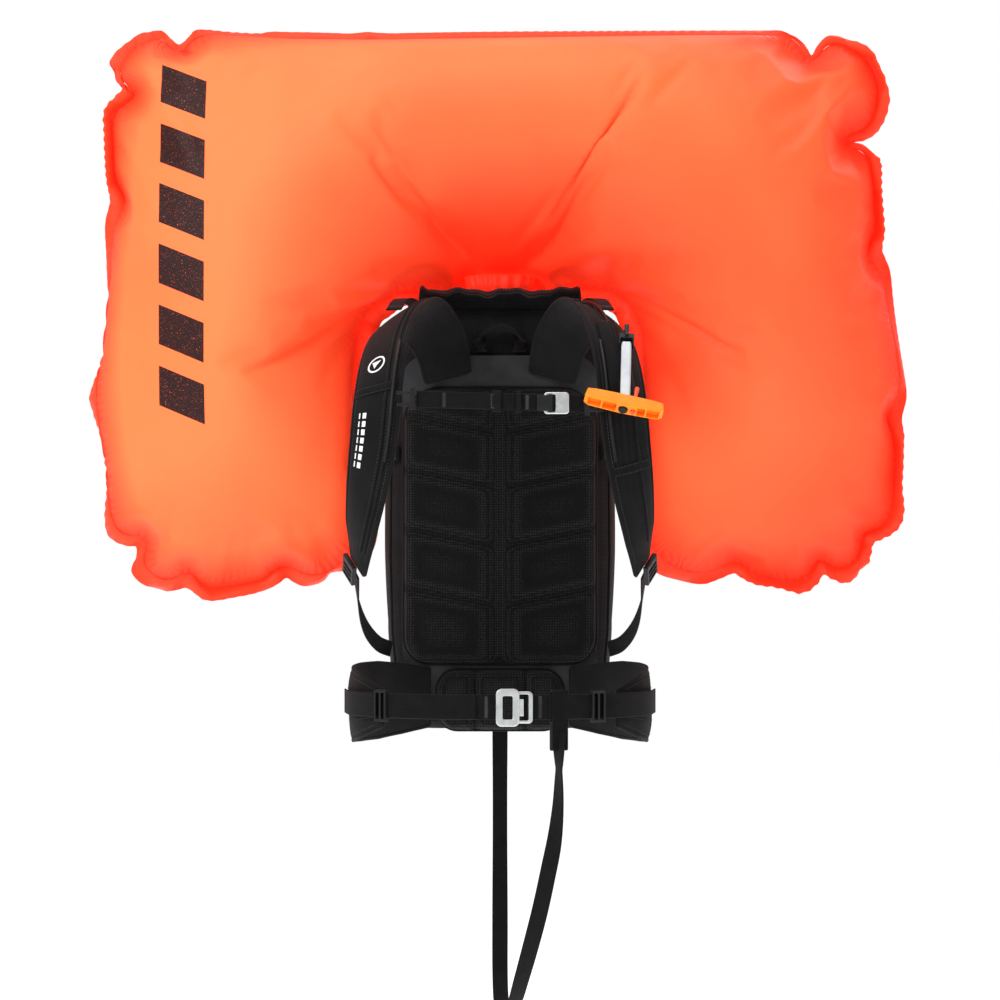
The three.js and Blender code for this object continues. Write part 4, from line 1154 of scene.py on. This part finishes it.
def rounded_half(z, low, high, half, low_radius, top_radius):
    """Half width of a rounded rectangle at height z."""
    into = np.maximum(low + low_radius - z, 0) / low_radius
    over = np.maximum(z - high + top_radius, 0) / top_radius
    return half - low_radius * (1 - np.sqrt(np.clip(1 - into**2, 0, 1))) - top_radius * (
        1 - np.sqrt(np.clip(1 - over**2, 0, 1)))


def cushion(name, low, high, half, radii, back, front, channels, material, body, cols=64, rows=86, cap=0.006):
    """A pad with sewn channels, filled by cloth between them: front(x, z) and back(x, z) are its faces' y."""
    z = (low + high) / 2 - np.cos(np.linspace(0, math.pi, rows)) * (high - low) / 2
    z = 0.35 * z + 0.65 * np.linspace(low, high, rows)
    a = np.sin(np.linspace(-1, 1, cols) * math.pi / 2) * 0.5 + np.linspace(-1, 1, cols) * 0.5
    width = np.maximum(rounded_half(z, low, high, half, *radii), half * 0.35)
    x = a[None] * width[:, None]
    zz = np.broadcast_to(z[:, None], x.shape)
    edge = np.minimum(width[:, None] - np.abs(x), np.minimum(zz - low, high - zz))
    rim = np.clip(edge / 0.012, 0, 1)
    depth = np.sqrt(1 - (1 - rim) ** 2)
    dip = channels(x, zz)
    y_front = back(x, zz) + (front(x, zz) - back(x, zz)) * (0.22 + 0.78 * depth) * (1 - 0.55 * dip)
    faces = [np.stack([x, y_front, zz], axis=2), np.stack([x, back(x, zz), zz], axis=2)[:, ::-1]]
    obj = skin(name, np.concatenate(faces, axis=1), material, body)
    pins = obj.vertex_groups.new(name="sewn")
    count = 2 * cols
    held = [i * count + j for i in range(rows) for j in range(cols, count)]
    fixed = (dip > 0.55) | (rim < 0.2)
    held += [i * count + j for i, j in zip(*np.nonzero(fixed))]
    pins.add(sorted(set(int(h) for h in held)), 1.0, "REPLACE")
    inflate(obj, 10, 2.5, tension=12, bending=1.0, cap=cap, pins="sewn")
    obj.vertex_groups.clear()
    subdivide(obj)
    return obj


def groove(value, width):
    return np.exp(-(value / width) ** 2)


def add_back():
    flat = lambda y: (lambda x, z: np.full(np.shape(x), y * MM))

    def channels(x, z):
        level = z - 0.20 * np.abs(x)
        lines = [groove(level - at, 0.0055) for at in (-0.105, -0.03, 0.045, 0.115)]
        return np.maximum(groove(x, 0.013), np.maximum.reduce(lines) * np.clip(np.abs(x) / 0.012, 0, 1))

    back = cushion("back_pad_body", -0.178, 0.172, 0.122, (0.034, 0.046), flat(17.9), flat(2.5), channels,
                   SPACER, "pack")
    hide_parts("back_pad")
    rim = [(x, 16.2, z) for x, z in outline_points(122, -178, 172, 34, 46)]
    ring_tube("back_pad_binding", rim, 2.6, BINDING, "pack")

    across = lambda x, z: np.maximum(groove(x - 0.032, 0.005), groove(x + 0.032, 0.005))
    lumbar = cushion("lumbar_pad_body", -0.262, -0.186, 0.080, (0.026, 0.026), flat(17.9), flat(-5.5), across,
                     SPACER, "pack", cols=56, rows=40, cap=0.005)
    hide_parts("lumbar_pad")
    rim = [(x, 15.5, z) for x, z in outline_points(80, -262, -186, 26, 26)]
    ring_tube("lumbar_pad_binding", rim, 2.4, BINDING, "pack")
    paint("frame_sheet", SHEET_PLASTIC)
    paint("frame_stay", ALUMINIUM)


def outline_points(half, low, high, low_radius, top_radius, steps=9):
    """The points of a rounded rectangle in x and z, anticlockwise from its lower left corner."""
    points = []
    corners = ((-half + low_radius, low + low_radius, low_radius, math.pi),
               (half - low_radius, low + low_radius, low_radius, 1.5 * math.pi),
               (half - top_radius, high - top_radius, top_radius, 0),
               (-half + top_radius, high - top_radius, top_radius, 0.5 * math.pi))
    for cx, cz, radius, start in corners:
        for t in np.linspace(0, math.pi / 2, steps):
            points.append((cx + radius * math.cos(start + t), cz + radius * math.sin(start + t)))
    return points


def closed_run(points, count):
    """Evenly spaced points in metres round a closed outline in millimetres, the last one at the first."""
    points = np.array(points, float) * MM
    return evenly(np.vstack([points, points[:1]]), count)


def ring_tube(name, points, radius, material, body, count=220, out=(0, 1, 0), flat=1.0):
    """Piping round a closed outline."""
    path = closed_run(points, count)
    path[-1] = path[0]
    turn = np.linspace(0, 2 * math.pi, 10, endpoint=False)
    tangent = unit(np.roll(path[:-1], -1, axis=0) - np.roll(path[:-1], 1, axis=0))
    tangent = np.vstack([tangent, tangent[:1]])
    up = np.broadcast_to(np.array(out, float), tangent.shape)
    up = unit(up - (up * tangent).sum(axis=1, keepdims=True) * tangent)
    side = np.cross(tangent, up)
    rings = (path[:, None] + radius * MM * np.cos(turn)[None, :, None] * side[:, None]
             + flat * radius * MM * np.sin(turn)[None, :, None] * up[:, None])
    return skin(name, rings, material, body, caps=False)


def add_shell():
    rows, cols = 110, 152
    z = np.linspace(LEVELS[0, 0], LEVELS[-1, 0], rows)
    z[0], z[-1] = LEVELS[0, 0], LEVELS[-1, 0]
    turn = np.linspace(0, 2 * math.pi, cols, endpoint=False)
    half, near, far = level_at(z)
    c, s = np.cos(turn), np.sin(turn)
    power = 2 / SQUARE
    x = np.sign(c) * np.abs(c) ** power
    y = np.sign(s) * np.abs(s) ** power
    # Even spacing along the section, which its power law bunches at the corners.
    loop = np.stack([x, y], axis=1)
    even = evenly(np.vstack([loop, loop[:1]]), cols + 1)[:-1]
    rings = np.stack([half[:, None] * even[None, :, 0],
                      (near + far)[:, None] / 2 + (far - near)[:, None] / 2 * even[None, :, 1],
                      np.broadcast_to(z[:, None], (rows, cols))], axis=2)
    shell = skin("pack_shell_body", rings, PACK, "pack")
    pins = shell.vertex_groups.new(name="sewn")
    corner = np.abs(np.abs(even[:, 0]) - np.abs(even[:, 1])) < 0.02
    held = [i * cols + j for i in range(rows) for j in range(cols)
            if corner[j] or even[j, 1] < -0.9 or i < 3 or i > rows - 4 or i in (28, 82)]
    pins.add(held, 1.0, "REPLACE")
    inflate(shell, 9, 1.6, tension=8, bending=0.3, cap=0.005, pins="sewn")
    shell.vertex_groups.clear()
    cut_openings(shell)
    thick = shell.modifiers.new("thick", "SOLIDIFY")
    thick.thickness, thick.offset = 0.0018, -1
    apply_modifiers(shell)
    fix_normals(shell.data)
    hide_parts("pack_shell")
    return shell


def cut_openings(shell):
    """The burst mouth at the top, and the opening that the rear panel closes."""
    mesh = bmesh.new()
    mesh.from_mesh(shell.data)
    gone = []
    for face in mesh.faces:
        c = face.calc_center_median()
        if c.z > 0.262 and abs(c.x) < 0.098 and 0.044 < c.y < 0.122:
            gone.append(face)
        elif c.y > 0.15 and -0.190 < c.z < 0.139:
            width = rounded_half(c.z, -0.190, 0.139, 0.104, 0.021, 0.061)
            if abs(c.x) < width:
                gone.append(face)
    # The flat end caps are one large face each: the top one gives way to the mouth's rim below.
    gone += [f for f in mesh.faces if len(f.verts) > 8 and f.calc_center_median().z > 0.2 and f not in gone]
    bmesh.ops.delete(mesh, geom=gone, context="FACES")
    mesh.to_mesh(shell.data)
    mesh.free()


def add_top():
    """The collar of cloth round the burst mouth, with its binding and zip teeth."""
    half, near, far = (float(v) for v in level_at(LEVELS[-1, 0]))
    turn = np.linspace(0, 2 * math.pi, 160, endpoint=False)
    power = 2 / SQUARE
    x = np.sign(np.cos(turn)) * np.abs(np.cos(turn)) ** power
    y = np.sign(np.sin(turn)) * np.abs(np.sin(turn)) ** power
    outer = np.stack([x * half, (near + far) / 2 + y * (far - near) / 2, np.full(160, 0.272)], axis=1)
    inner = np.stack([x * 0.096, 0.083 + y * 0.037, np.full(160, 0.2715)], axis=1)
    rings = []
    for f, lift in ((0, 0.0), (0.25, 0.0016), (0.6, 0.0014), (1, 0.0)):
        rings.append(outer * (1 - f) + inner * f + (0, 0, lift))
    for f, lift in ((1, -0.002), (0.5, -0.0006), (0, -0.002)):
        rings.append(outer * (1 - f) + inner * f + (0, 0, lift))
    collar = skin("pack_mouth_collar", np.array(rings), PACK, "pack", caps=False)
    loop = [(p[0] * 1000, p[1] * 1000, 272.4) for p in inner[::4]]
    ring_tube("pack_mouth_binding", loop, 2.0, BINDING, "pack", out=(0, 0, 1))
    loop = [(p[0] * 1000 * 0.985, 83 + (p[1] * 1000 - 83) * 0.985, 274.2) for p in inner[::4]]
    path = closed_run(loop, 420)[:-1]
    tangent = unit(np.roll(path, -1, axis=0) - np.roll(path, 1, axis=0))
    up = np.array((0, 0, 1.0))
    places = [(p, t, np.cross(up, t), up) for p, t in zip(path[::2], tangent[::2])]
    blocks("burst_zip_teeth_mouth", places, [(0.0012, 0.0034, 0.0016)] * len(places), BLACK_PLASTIC, "pack")


BURST_FLAPS = {"rear": [(124, 275), (150, 289), (186, 276), (203, 240), (207, 196)],
               "front": [(43, 274), (28, 291), (10, 297), (-6, 291)]}


def add_flaps():
    for name, curve in BURST_FLAPS.items():
        rows, cols = 60, 130
        line = smooth_line([(0, y, z) for y, z in curve], rows)
        out, _ = frames(line, facing(0, 0.3 if name == "rear" else -0.3, 1))
        x = np.linspace(-0.104, 0.104, cols)
        v = np.linspace(0, 1, rows)
        flute = 0.0030 * np.sin(x * 95 + (1.1 if name == "rear" else 0.2)) + 0.0014 * np.sin(x * 230 + 2)
        corner = np.clip((np.abs(x) - 0.07) / 0.034, 0, 1) ** 2
        move = v[:, None] ** 1.4 * flute[None] + v[:, None] ** 2 * corner[None] * 0.007
        draw = 1 - 0.05 * v[:, None] ** 2 * np.abs(np.sign(x))[None]
        body_rows = []
        for side in (1, -1):
            pts = line[:, None] + np.stack([x[None] * draw, 0 * move, 0 * move], axis=2)
            pts = pts + out[:, None] * (move[..., None] + side * 0.0004)
            body_rows.append(pts)
        rings = np.concatenate([body_rows[0], body_rows[1][:, ::-1]], axis=1)
        flap = skin("burst_flap_" + name + "_cloth", rings, PACK, "pack")
        flap.data.materials.append(LINING if name == "rear" else PACK)
        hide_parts("burst_flap_" + name)
        edge = body_rows[0][-1] * 0.5 + body_rows[1][-1] * 0.5
        t = unit(line[-1] - line[-2])
        places = []
        run = evenly(edge, 120)
        along = unit(np.gradient(run, axis=0))
        for p, a in zip(run, along):
            o = np.cross(a, t)
            places.append((p + t * 0.0022, a, t, o))
        sizes = [(0.0012, 0.0036, 0.0016)] * len(places)
        blocks("burst_zip_teeth_" + name, places, sizes, BLACK_PLASTIC, "pack")
        tape = np.array([p - t * 0.004 + out[-1] * 0.0012 for p in run])
        strip("burst_zip_tape_" + name, tape, facing(*out[-1]), 0.010, 0.0009, BINDING, "pack")
        for k, back_off in enumerate((0.010, 0.016)):
            i = int(rows - 1 - back_off / (length_of(line) / rows))
            row = body_rows[0][i] + out[i] * 0.0003
            stitches(f"burst_flap_stitch_{name}_{k}", row[3:-3], out[i], "pack")


def panel_line(inset, lift, steps=9):
    """The rear panel's outline moved in by inset, laid on the pack's far face and off it, in millimetres."""
    low_radius, top_radius = max(22 - inset, 6), max(62 - inset, 8)
    points = outline_points(106 - inset, -192 + inset, 140 - inset, low_radius, top_radius, steps)
    return [(x, far_face(x * MM, z * MM) * 1000 + lift, z) for x, z in points]


def add_panel():
    def outer(x, z):
        return far_face(x, z) + 0.0012

    def seams(x, z):
        seam = groove(z - 0.052, 0.0035)
        pocket = groove(rect_distance(x, z, 0.078, -0.170, 0.028, 0.02), 0.0035)
        return np.maximum(seam, pocket) * 0.9

    rows, cols = 90, 64
    low, high = -0.192, 0.140
    z = np.linspace(low, high, rows)
    a = np.linspace(-1, 1, cols)
    width = np.maximum(rounded_half(z, low, high, 0.106, 0.022, 0.062), 0.044)
    x = a[None] * width[:, None]
    zz = np.broadcast_to(z[:, None], x.shape)
    edge = np.minimum(width[:, None] - np.abs(x), np.minimum(zz - low, high - zz))
    dip = seams(x, zz)
    y = outer(x, zz) + 0.0012 * np.clip(edge / 0.01, 0, 1) - 0.0008 * dip
    rings = np.concatenate([np.stack([x, y, zz], axis=2),
                            np.stack([x, far_face(x, zz) - 0.0016, zz], axis=2)[:, ::-1]], axis=1)
    panel = skin("rear_panel_body", rings, PANEL, "rear_panel")
    pins = panel.vertex_groups.new(name="sewn")
    count = 2 * cols
    held = [i * count + j for i in range(rows) for j in range(cols, count)]
    fixed = (dip > 0.45) | (edge < 0.006)
    held += [i * count + j for i, j in zip(*np.nonzero(fixed))]
    pins.add(sorted(set(int(h) for h in held)), 1.0, "REPLACE")
    inflate(panel, 10, 1.6, tension=10, bending=0.4, cap=0.007, pins="sewn")
    panel.vertex_groups.clear()
    subdivide(panel)
    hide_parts("front_panel")

    for which, inset, body, lift in (("inner", 5.5, "rear_panel", 3.0), ("outer", -7.0, "pack", 0.9)):
        path = closed_run(panel_line(inset, lift), 260)
        outline = panel_line(inset, lift)
        ring_tube("panel_zip_tape_" + which, outline, 5.0, BINDING, body, count=260, flat=0.16)
        outs = np.tile((0, 1.0, 0), (len(path), 1))
        stitches("panel_zip_stitch_" + which, path + (0, 0.0009, 0), outs, body)
    path = closed_run(panel_line(-0.6, 2.2), 700)[:-1]
    keep = path[:, 2] > -0.180
    tangent = unit(np.roll(path, -1, axis=0) - np.roll(path, 1, axis=0))
    up = np.array((0, 1.0, 0))
    places = [(p, t, np.cross(up, t), up) for p, t, k in zip(path, tangent, keep) if k]
    blocks("panel_zip_coil", places, [(0.0008, 0.0042, 0.0015)] * len(places), BLACK_PLASTIC, "pack")

    tree = tree_of(panel)
    out = np.array((0, 1.0, 0))
    for k, xx in enumerate((-0.030, 0.030)):
        row = np.array([(xx, 0.21, zz) for zz in np.linspace(-0.150, 0.018, 60)])
        row = lay(tree, row, out, 0.0011)
        bulge = 0.0030 * np.abs(np.sin(np.linspace(0, 5 * math.pi, 60))) ** 0.7
        row[:, 1] += bulge
        strip(f"daisy_chain_{k}", row, BACKWARD, 0.018, 0.0015, WEBBING, "rear_panel")
        for j in range(6):
            at = int(round(j * 59 / 5))
            place = row[at] + (0, 0.0011, 0)
            bar_tack(f"daisy_tack_{k}_{j}", place, AXES[0], AXES[2], 0.015, "rear_panel")
    row = lay(tree, np.array([(xx, 0.21, 0.053) for xx in np.linspace(-0.092, 0.092, 60)]), out, 0.0010)
    strip("panel_pocket_zip_tape", row, BACKWARD, 0.016, 0.0010, BINDING, "rear_panel")
    teeth = evenly(row + (0, 0.0009, 0), 150)
    sizes = [(0.0007, 0.0012, 0.0042)] * len(teeth)
    blocks("panel_pocket_zip_coil", [(p, *AXES) for p in teeth], sizes, BLACK_PLASTIC, "rear_panel")
    start = row[52] + (0, 0.0024, 0)
    slider = (0.010, 0.004, 0.008)
    blocks("panel_pocket_slider", [(start, *AXES)], [slider], STEEL, "rear_panel", bevel=0.0012)
    pull = np.array([start, start + (0.002, 0.0014, -0.012),
                     start + (0.003, 0.0010, -0.026)])
    strip("panel_pocket_pull", evenly(pull, 16), BACKWARD, 0.006, 0.0014, WEBBING, "rear_panel")
    for k, lane in enumerate((0.0, 0.007)):
        rim = np.array([(p[0], 0.21, p[1]) for p in
                        [(x * MM, z * MM) for x, z in outline_points(78 - lane * 1000, -170 + lane * 1000,
                                                                   28 - lane * 1000, 20, 20)]])
        rim = evenly(np.vstack([rim, rim[:1]]), 240)
        stitches(f"panel_pocket_stitch_{k}", lay(tree, rim, out, 0.0003), out, "rear_panel")
    soften("panel_zip_slider", STEEL, 0.0005)


def rect_distance(x, z, half, low, high, radius):
    """Distance from the outline of a rounded rectangle, in metres."""
    dx = np.abs(x) - (half - radius)
    dz = np.abs(z - (low + high) / 2) - ((high - low) / 2 - radius)
    outside = np.hypot(np.maximum(dx, 0), np.maximum(dz, 0))
    return outside + np.minimum(np.maximum(dx, dz), 0) - radius


SIDE_STRAP = [(128, 33), (147, 40), (151, 100), (149, 160), (134, 198), (114, 209)]
GRAB_HANDLE = [(-25, 21, 219), (-24, 10, 240), (0, 2, 250), (24, 10, 240), (25, 21, 219)]
AXE_LOOP = [(-6, 191, -210), (-14, 207, -230), (0, 214, -245), (14, 207, -230), (6, 191, -210)]


def add_trims():
    for name, side in SIDES:
        line = smooth_line([(side * x, y, 90) for x, y in SIDE_STRAP], 90)
        away = lambda p: unit(np.stack([p[:, 0], p[:, 1] - 0.11, 0 * p[:, 2]], axis=1) * (1, 1.3, 0))
        web = webbing("side_strap_" + name + "_webbing", line, 20, "pack", away)
        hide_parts("side_strap_" + name)
        outs, acrosses = frames(line, away)
        tangent = unit(np.gradient(line, axis=0))
        for k, at in enumerate((3, 86)):
            place = line[at] + outs[at] * 0.0011
            bar_tack(f"side_strap_tack_{name}_{k}", place, acrosses[at], tangent[at], 0.017, "pack")
        at = 52
        o, t, s = outs[at], tangent[at], acrosses[at]
        base = line[at] + o * 0.0022
        bars = [(base + t * d, t, s, o) for d in (-0.011, -0.002, 0.009)]
        bars += [(base + s * d, t, s, o) for d in (-0.0125, 0.0125)]
        blocks("side_strap_lock_" + name, bars, [(0.0032, 0.026, 0.003)] * 3 + [(0.026, 0.003, 0.0034)] * 2,
               BLACK_PLASTIC, "pack", bevel=0.0009)
        tail = line[52:78] + outs[52:78] * 0.0024
        strip("side_strap_tail_" + name, tail, away, 0.0195, 0.0016, WEBBING, "pack")
        heights = np.linspace(-0.235, 0.25, 120)
        wide = side * level_at(heights)[0] * 0.955
        seam = np.stack([wide, far_face(wide, heights), heights], axis=1)
        tube("pack_seam_rear_" + name, seam, 0.0019, BINDING, "pack", sides=8)
        front = seam.copy()
        front[:, 1] = level_at(heights)[1] + level_at(heights)[2] - seam[:, 1]
        tube("pack_seam_front_" + name, front, 0.0019, BINDING, "pack", sides=8)

    line = smooth_line(GRAB_HANDLE, 70)
    swell = 1 + 0.5 * np.exp(-((np.linspace(-1, 1, 70)) / 0.45) ** 2)
    section = np.array(web_section(0.018, 0.003))[None] * np.stack([np.ones(70), swell], axis=1)[:, None]
    grab = skin("grab_handle_webbing", cross_section(line, facing(0, -0.4, 1), section), WEBBING, "pack")
    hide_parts("grab_handle")
    line = smooth_line(AXE_LOOP, 80)
    loop = tube("axe_loop_cord", line, 0.0025, CORD, "pack")
    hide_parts("axe_loop")


def add_trigger():
    side = LEFT
    line = smooth_line(side_points(STRAP, side), 160)
    outs, acrosses = frames(line, away_from_wearer)
    u0, u1, rows, cols = 0.418, 0.622, 50, 36
    a = np.linspace(-1, 1, cols)
    top, low = [], []
    inward = 0.006
    sign = -1 if float(acrosses[80] @ np.array((1.0, 0, 0))) > 0 else 1
    for u in np.linspace(u0, u1, rows):
        p, t, s, o = strap_place(line, outs, acrosses, u, 0)
        near = min((u - u0), (u1 - u)) / (u1 - u0)
        full = min(1.0, near * 7 + 0.35)
        base = p + s * sign * inward + o * (STRAP_THICK * MM / 2 + 0.0006)
        crown = (1 - np.abs(a) ** 3) * full * 0.0075 + 0.0016
        top.append([base + s * x * 0.020 * (0.86 + 0.14 * full) + o * h for x, h in zip(a, crown)])
        low.append([base + s * x * 0.020 * (0.86 + 0.14 * full) for x in a[::-1]])
    rings = np.concatenate([np.array(top), np.array(low)], axis=1)
    pocket = skin("trigger_pocket_cover", rings, STRAP_CLOTH, "pack")
    pins = pocket.vertex_groups.new(name="sewn")
    count = 2 * cols
    held = [i * count + j for i in range(rows) for j in list(range(cols, count)) + [0, 1, cols - 2, cols - 1]]
    held += list(range(2 * count)) + list(range((rows - 2) * count, rows * count))
    held += [i * count + j for i in range(rows) for j in (cols // 2 - 1, cols // 2)]
    pins.add(sorted(set(held)), 1.0, "REPLACE")
    inflate(pocket, 8, 2.5, tension=10, bending=0.6, cap=0.0025, pins="sewn")
    points = grid_of(pocket, rows)
    ridge = (points[:, cols // 2 - 1] + points[:, cols // 2]) / 2
    pocket.vertex_groups.clear()
    subdivide(pocket)
    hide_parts("trigger_pocket")
    ridge = ridge[3:-3]
    o2 = np.array([strap_place(line, outs, acrosses, u, 0)[3] for u in np.linspace(u0, u1, rows)][3:-3])
    tape = evenly(ridge + o2 * 0.0006, 60)
    strip("trigger_zip_tape", tape, away_from_wearer, 0.013, 0.0011, BINDING, "pack")
    teeth = evenly(ridge + o2 * 0.0014, 90)
    t = unit(np.gradient(teeth, axis=0))
    o3 = away_from_wearer(teeth)
    o3 = unit(o3 - (o3 * t).sum(axis=1, keepdims=True) * t)
    blocks("trigger_zip_coil", [(p, tt, np.cross(oo, tt), oo) for p, tt, oo in zip(teeth, t, o3)],
           [(0.0007, 0.004, 0.0014)] * len(teeth), BLACK_PLASTIC, "pack")
    soften("handle_bar", ORANGE, 0.0005)
    soften("cable_stop", BLACK_PLASTIC, 0.0004)
    soften("lock_pin", CORAL, 0.0003, rounds=2)
    soften("trigger_stem", GREY, 0.0004)
    soften("trigger_socket", BLACK_PLASTIC, 0.0005)
    soften("pocket_zip_pull", BLACK_PLASTIC, 0.0003, rounds=2)
    paint("release_cable", STEEL)
    paint("cable_housing", BLACK_PLASTIC)


def add_inflator():
    for node, material, voxel in (("inlet_collar", ALUMINIUM, 0), ("venturi_body", BLACK_PLASTIC, 0),
                                  ("intake_screen", STEEL, 0), ("deflate_button", RED_BUTTON, 0.0004),
                                  ("valve_block", ALUMINIUM, 0.0006), ("cartridge", CARTRIDGE_PAINT, 0),
                                  ("cartridge_band", WEBBING_PLAIN, 0), ("firing_pin", STEEL, 0)):
        soften(node, material, voxel)
    add_firing_spring()
    centre = np.array((0.064, 0.1172, 0.222))
    disc = circle(0.0104)
    face = bmesh.new()
    ring = [face.verts.new(centre + np.array((x, 0, z))) for x, z in disc]
    back = [face.verts.new(centre + np.array((x, -0.0008, z))) for x, z in disc]
    face.faces.new(ring)
    face.faces.new(back[::-1])
    for i in range(len(disc)):
        face.faces.new((ring[i], back[i], back[(i + 1) % len(disc)], ring[(i + 1) % len(disc)]))
    bmesh.ops.recalc_face_normals(face, faces=face.faces)
    mesh = bpy.data.meshes.new("gauge_dial")
    face.to_mesh(mesh)
    face.free()
    new_object("gauge_dial", mesh, PRINT_WHITE, "pack", smooth=False)
    marks = []
    for k in range(11):
        t = math.radians(-40 + 26 * k)
        axis = np.array((math.cos(t), 0, math.sin(t)))
        marks.append((centre + axis * 0.0085 + (0, 0.0002, 0), axis, (0, 1, 0), np.cross(axis, (0, 1, 0))))
    sizes = [(0.0026, 0.0003, 0.0005)] * 11
    t = math.radians(62)
    axis = np.array((math.cos(t), 0, math.sin(t)))
    marks.append((centre + axis * 0.003 + (0, 0.0004, 0), axis, (0, 1, 0), np.cross(axis, (0, 1, 0))))
    sizes.append((0.011, 0.0003, 0.0008))
    blocks("gauge_marks", marks, sizes, BLACK_PLASTIC, "pack")


def add_firing_spring():
    """The coil under the firing pin's head, which the pin's stroke closes up."""
    share = np.linspace(0, 1, 120)
    turn = share * SPRING_TURNS * 2 * math.pi
    coil = np.stack([PIN_PLACE[0] + 0.0042 * np.cos(turn), PIN_PLACE[1] + 0.0042 * np.sin(turn),
                     PIN_PLACE[2] + 0.0011 + share * 0.0098], axis=1)
    spring = tube("firing_spring_coil", coil, 0.0007, STEEL, "pack", sides=8, away=facing(0, 0.01, 1))
    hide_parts("firing_spring")
    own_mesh(spring)


PIN_PLACE = (0.088, 0.083, 0.240)  # where the firing pin goes into the valve
SPRING_TURNS = 3.5

RED_BUTTON = plastic("red_button", (0.60, 0.02, 0.012), (0.45, 0.012, 0.01), 0.4)
WEBBING_PLAIN = fabric("band_weave", (0.010, 0.010, 0.011), (0.024, 0.024, 0.026), 0.0018, on_uv=False)

add_back()
add_shell()
add_top()
add_flaps()
add_panel()
add_trims()
add_trigger()
add_inflator()


# ------------------------------------------------------------------ floor and light
FLOOR_RADIUS = 12.0  # metres
AMBIENT = 0.42  # the studio's light from all round


def add_stage():
    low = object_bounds()[0].z - FLOOR_DROP
    turn = np.linspace(0, 2 * math.pi, 64, endpoint=False)
    mesh = bpy.data.meshes.new("floor")
    points = [(FLOOR_RADIUS * math.cos(t), FLOOR_RADIUS * math.sin(t), low) for t in turn]
    mesh.from_pydata(points, [], [list(range(len(points)))])
    floor = bpy.data.objects.new("floor", mesh)
    bpy.context.scene.collection.objects.link(floor)
    shade = Shade("floor", (0.92, 0.92, 0.92), 0.9, specular_ior_level=0.1, emission_strength=0.7)
    shade.set("Emission Color", (1, 1, 1, 1))
    shade.bump(shade.noise(shade.place(), 3.0, 2.0), 0.002, 0.2)
    mesh.materials.append(shade.material)


def add_light(name, place, aim, size, power, color=(1, 1, 1)):
    data = bpy.data.lights.new(name, "AREA")
    data.shape = "RECTANGLE"
    data.size, data.size_y = size
    data.energy = power
    data.color = color
    lamp = bpy.data.objects.new(name, data)
    lamp.location = place
    lamp.rotation_euler = (Vector(aim) - Vector(place)).to_track_quat("-Z", "Y").to_euler()
    bpy.context.scene.collection.objects.link(lamp)


def add_studio():
    add_light("key", (-2.6, -3.2, 2.2), (-0.1, 0, 0.15), (1.8, 1.8), 135)
    add_light("fill", (3.0, -3.0, 0.6), (0, 0, 0.1), (2.2, 2.6), 26)
    add_light("top", (0, -0.4, 3.2), (0, 0.1, 0), (2.6, 2.0), 50)
    add_light("back", (1.8, 3.0, 2.4), (0, 0, 0.1), (2.0, 2.0), 70)
    world = bpy.data.worlds.new("studio")
    world.use_nodes = True
    world.node_tree.nodes["Background"].inputs["Color"].default_value = (1, 1, 1, 1)
    rays = world.node_tree.nodes.new("ShaderNodeLightPath")
    strength = world.node_tree.nodes.new("ShaderNodeMapRange")
    strength.inputs["To Min"].default_value, strength.inputs["To Max"].default_value = AMBIENT, 1.0
    world.node_tree.links.new(rays.outputs["Is Camera Ray"], strength.inputs["Value"])
    world.node_tree.links.new(strength.outputs["Result"],
                              world.node_tree.nodes["Background"].inputs["Strength"])
    bpy.context.scene.world = world
    view = bpy.context.scene.view_settings
    view.view_transform = "Standard"
    view.look = "None"


add_stage()
add_studio()
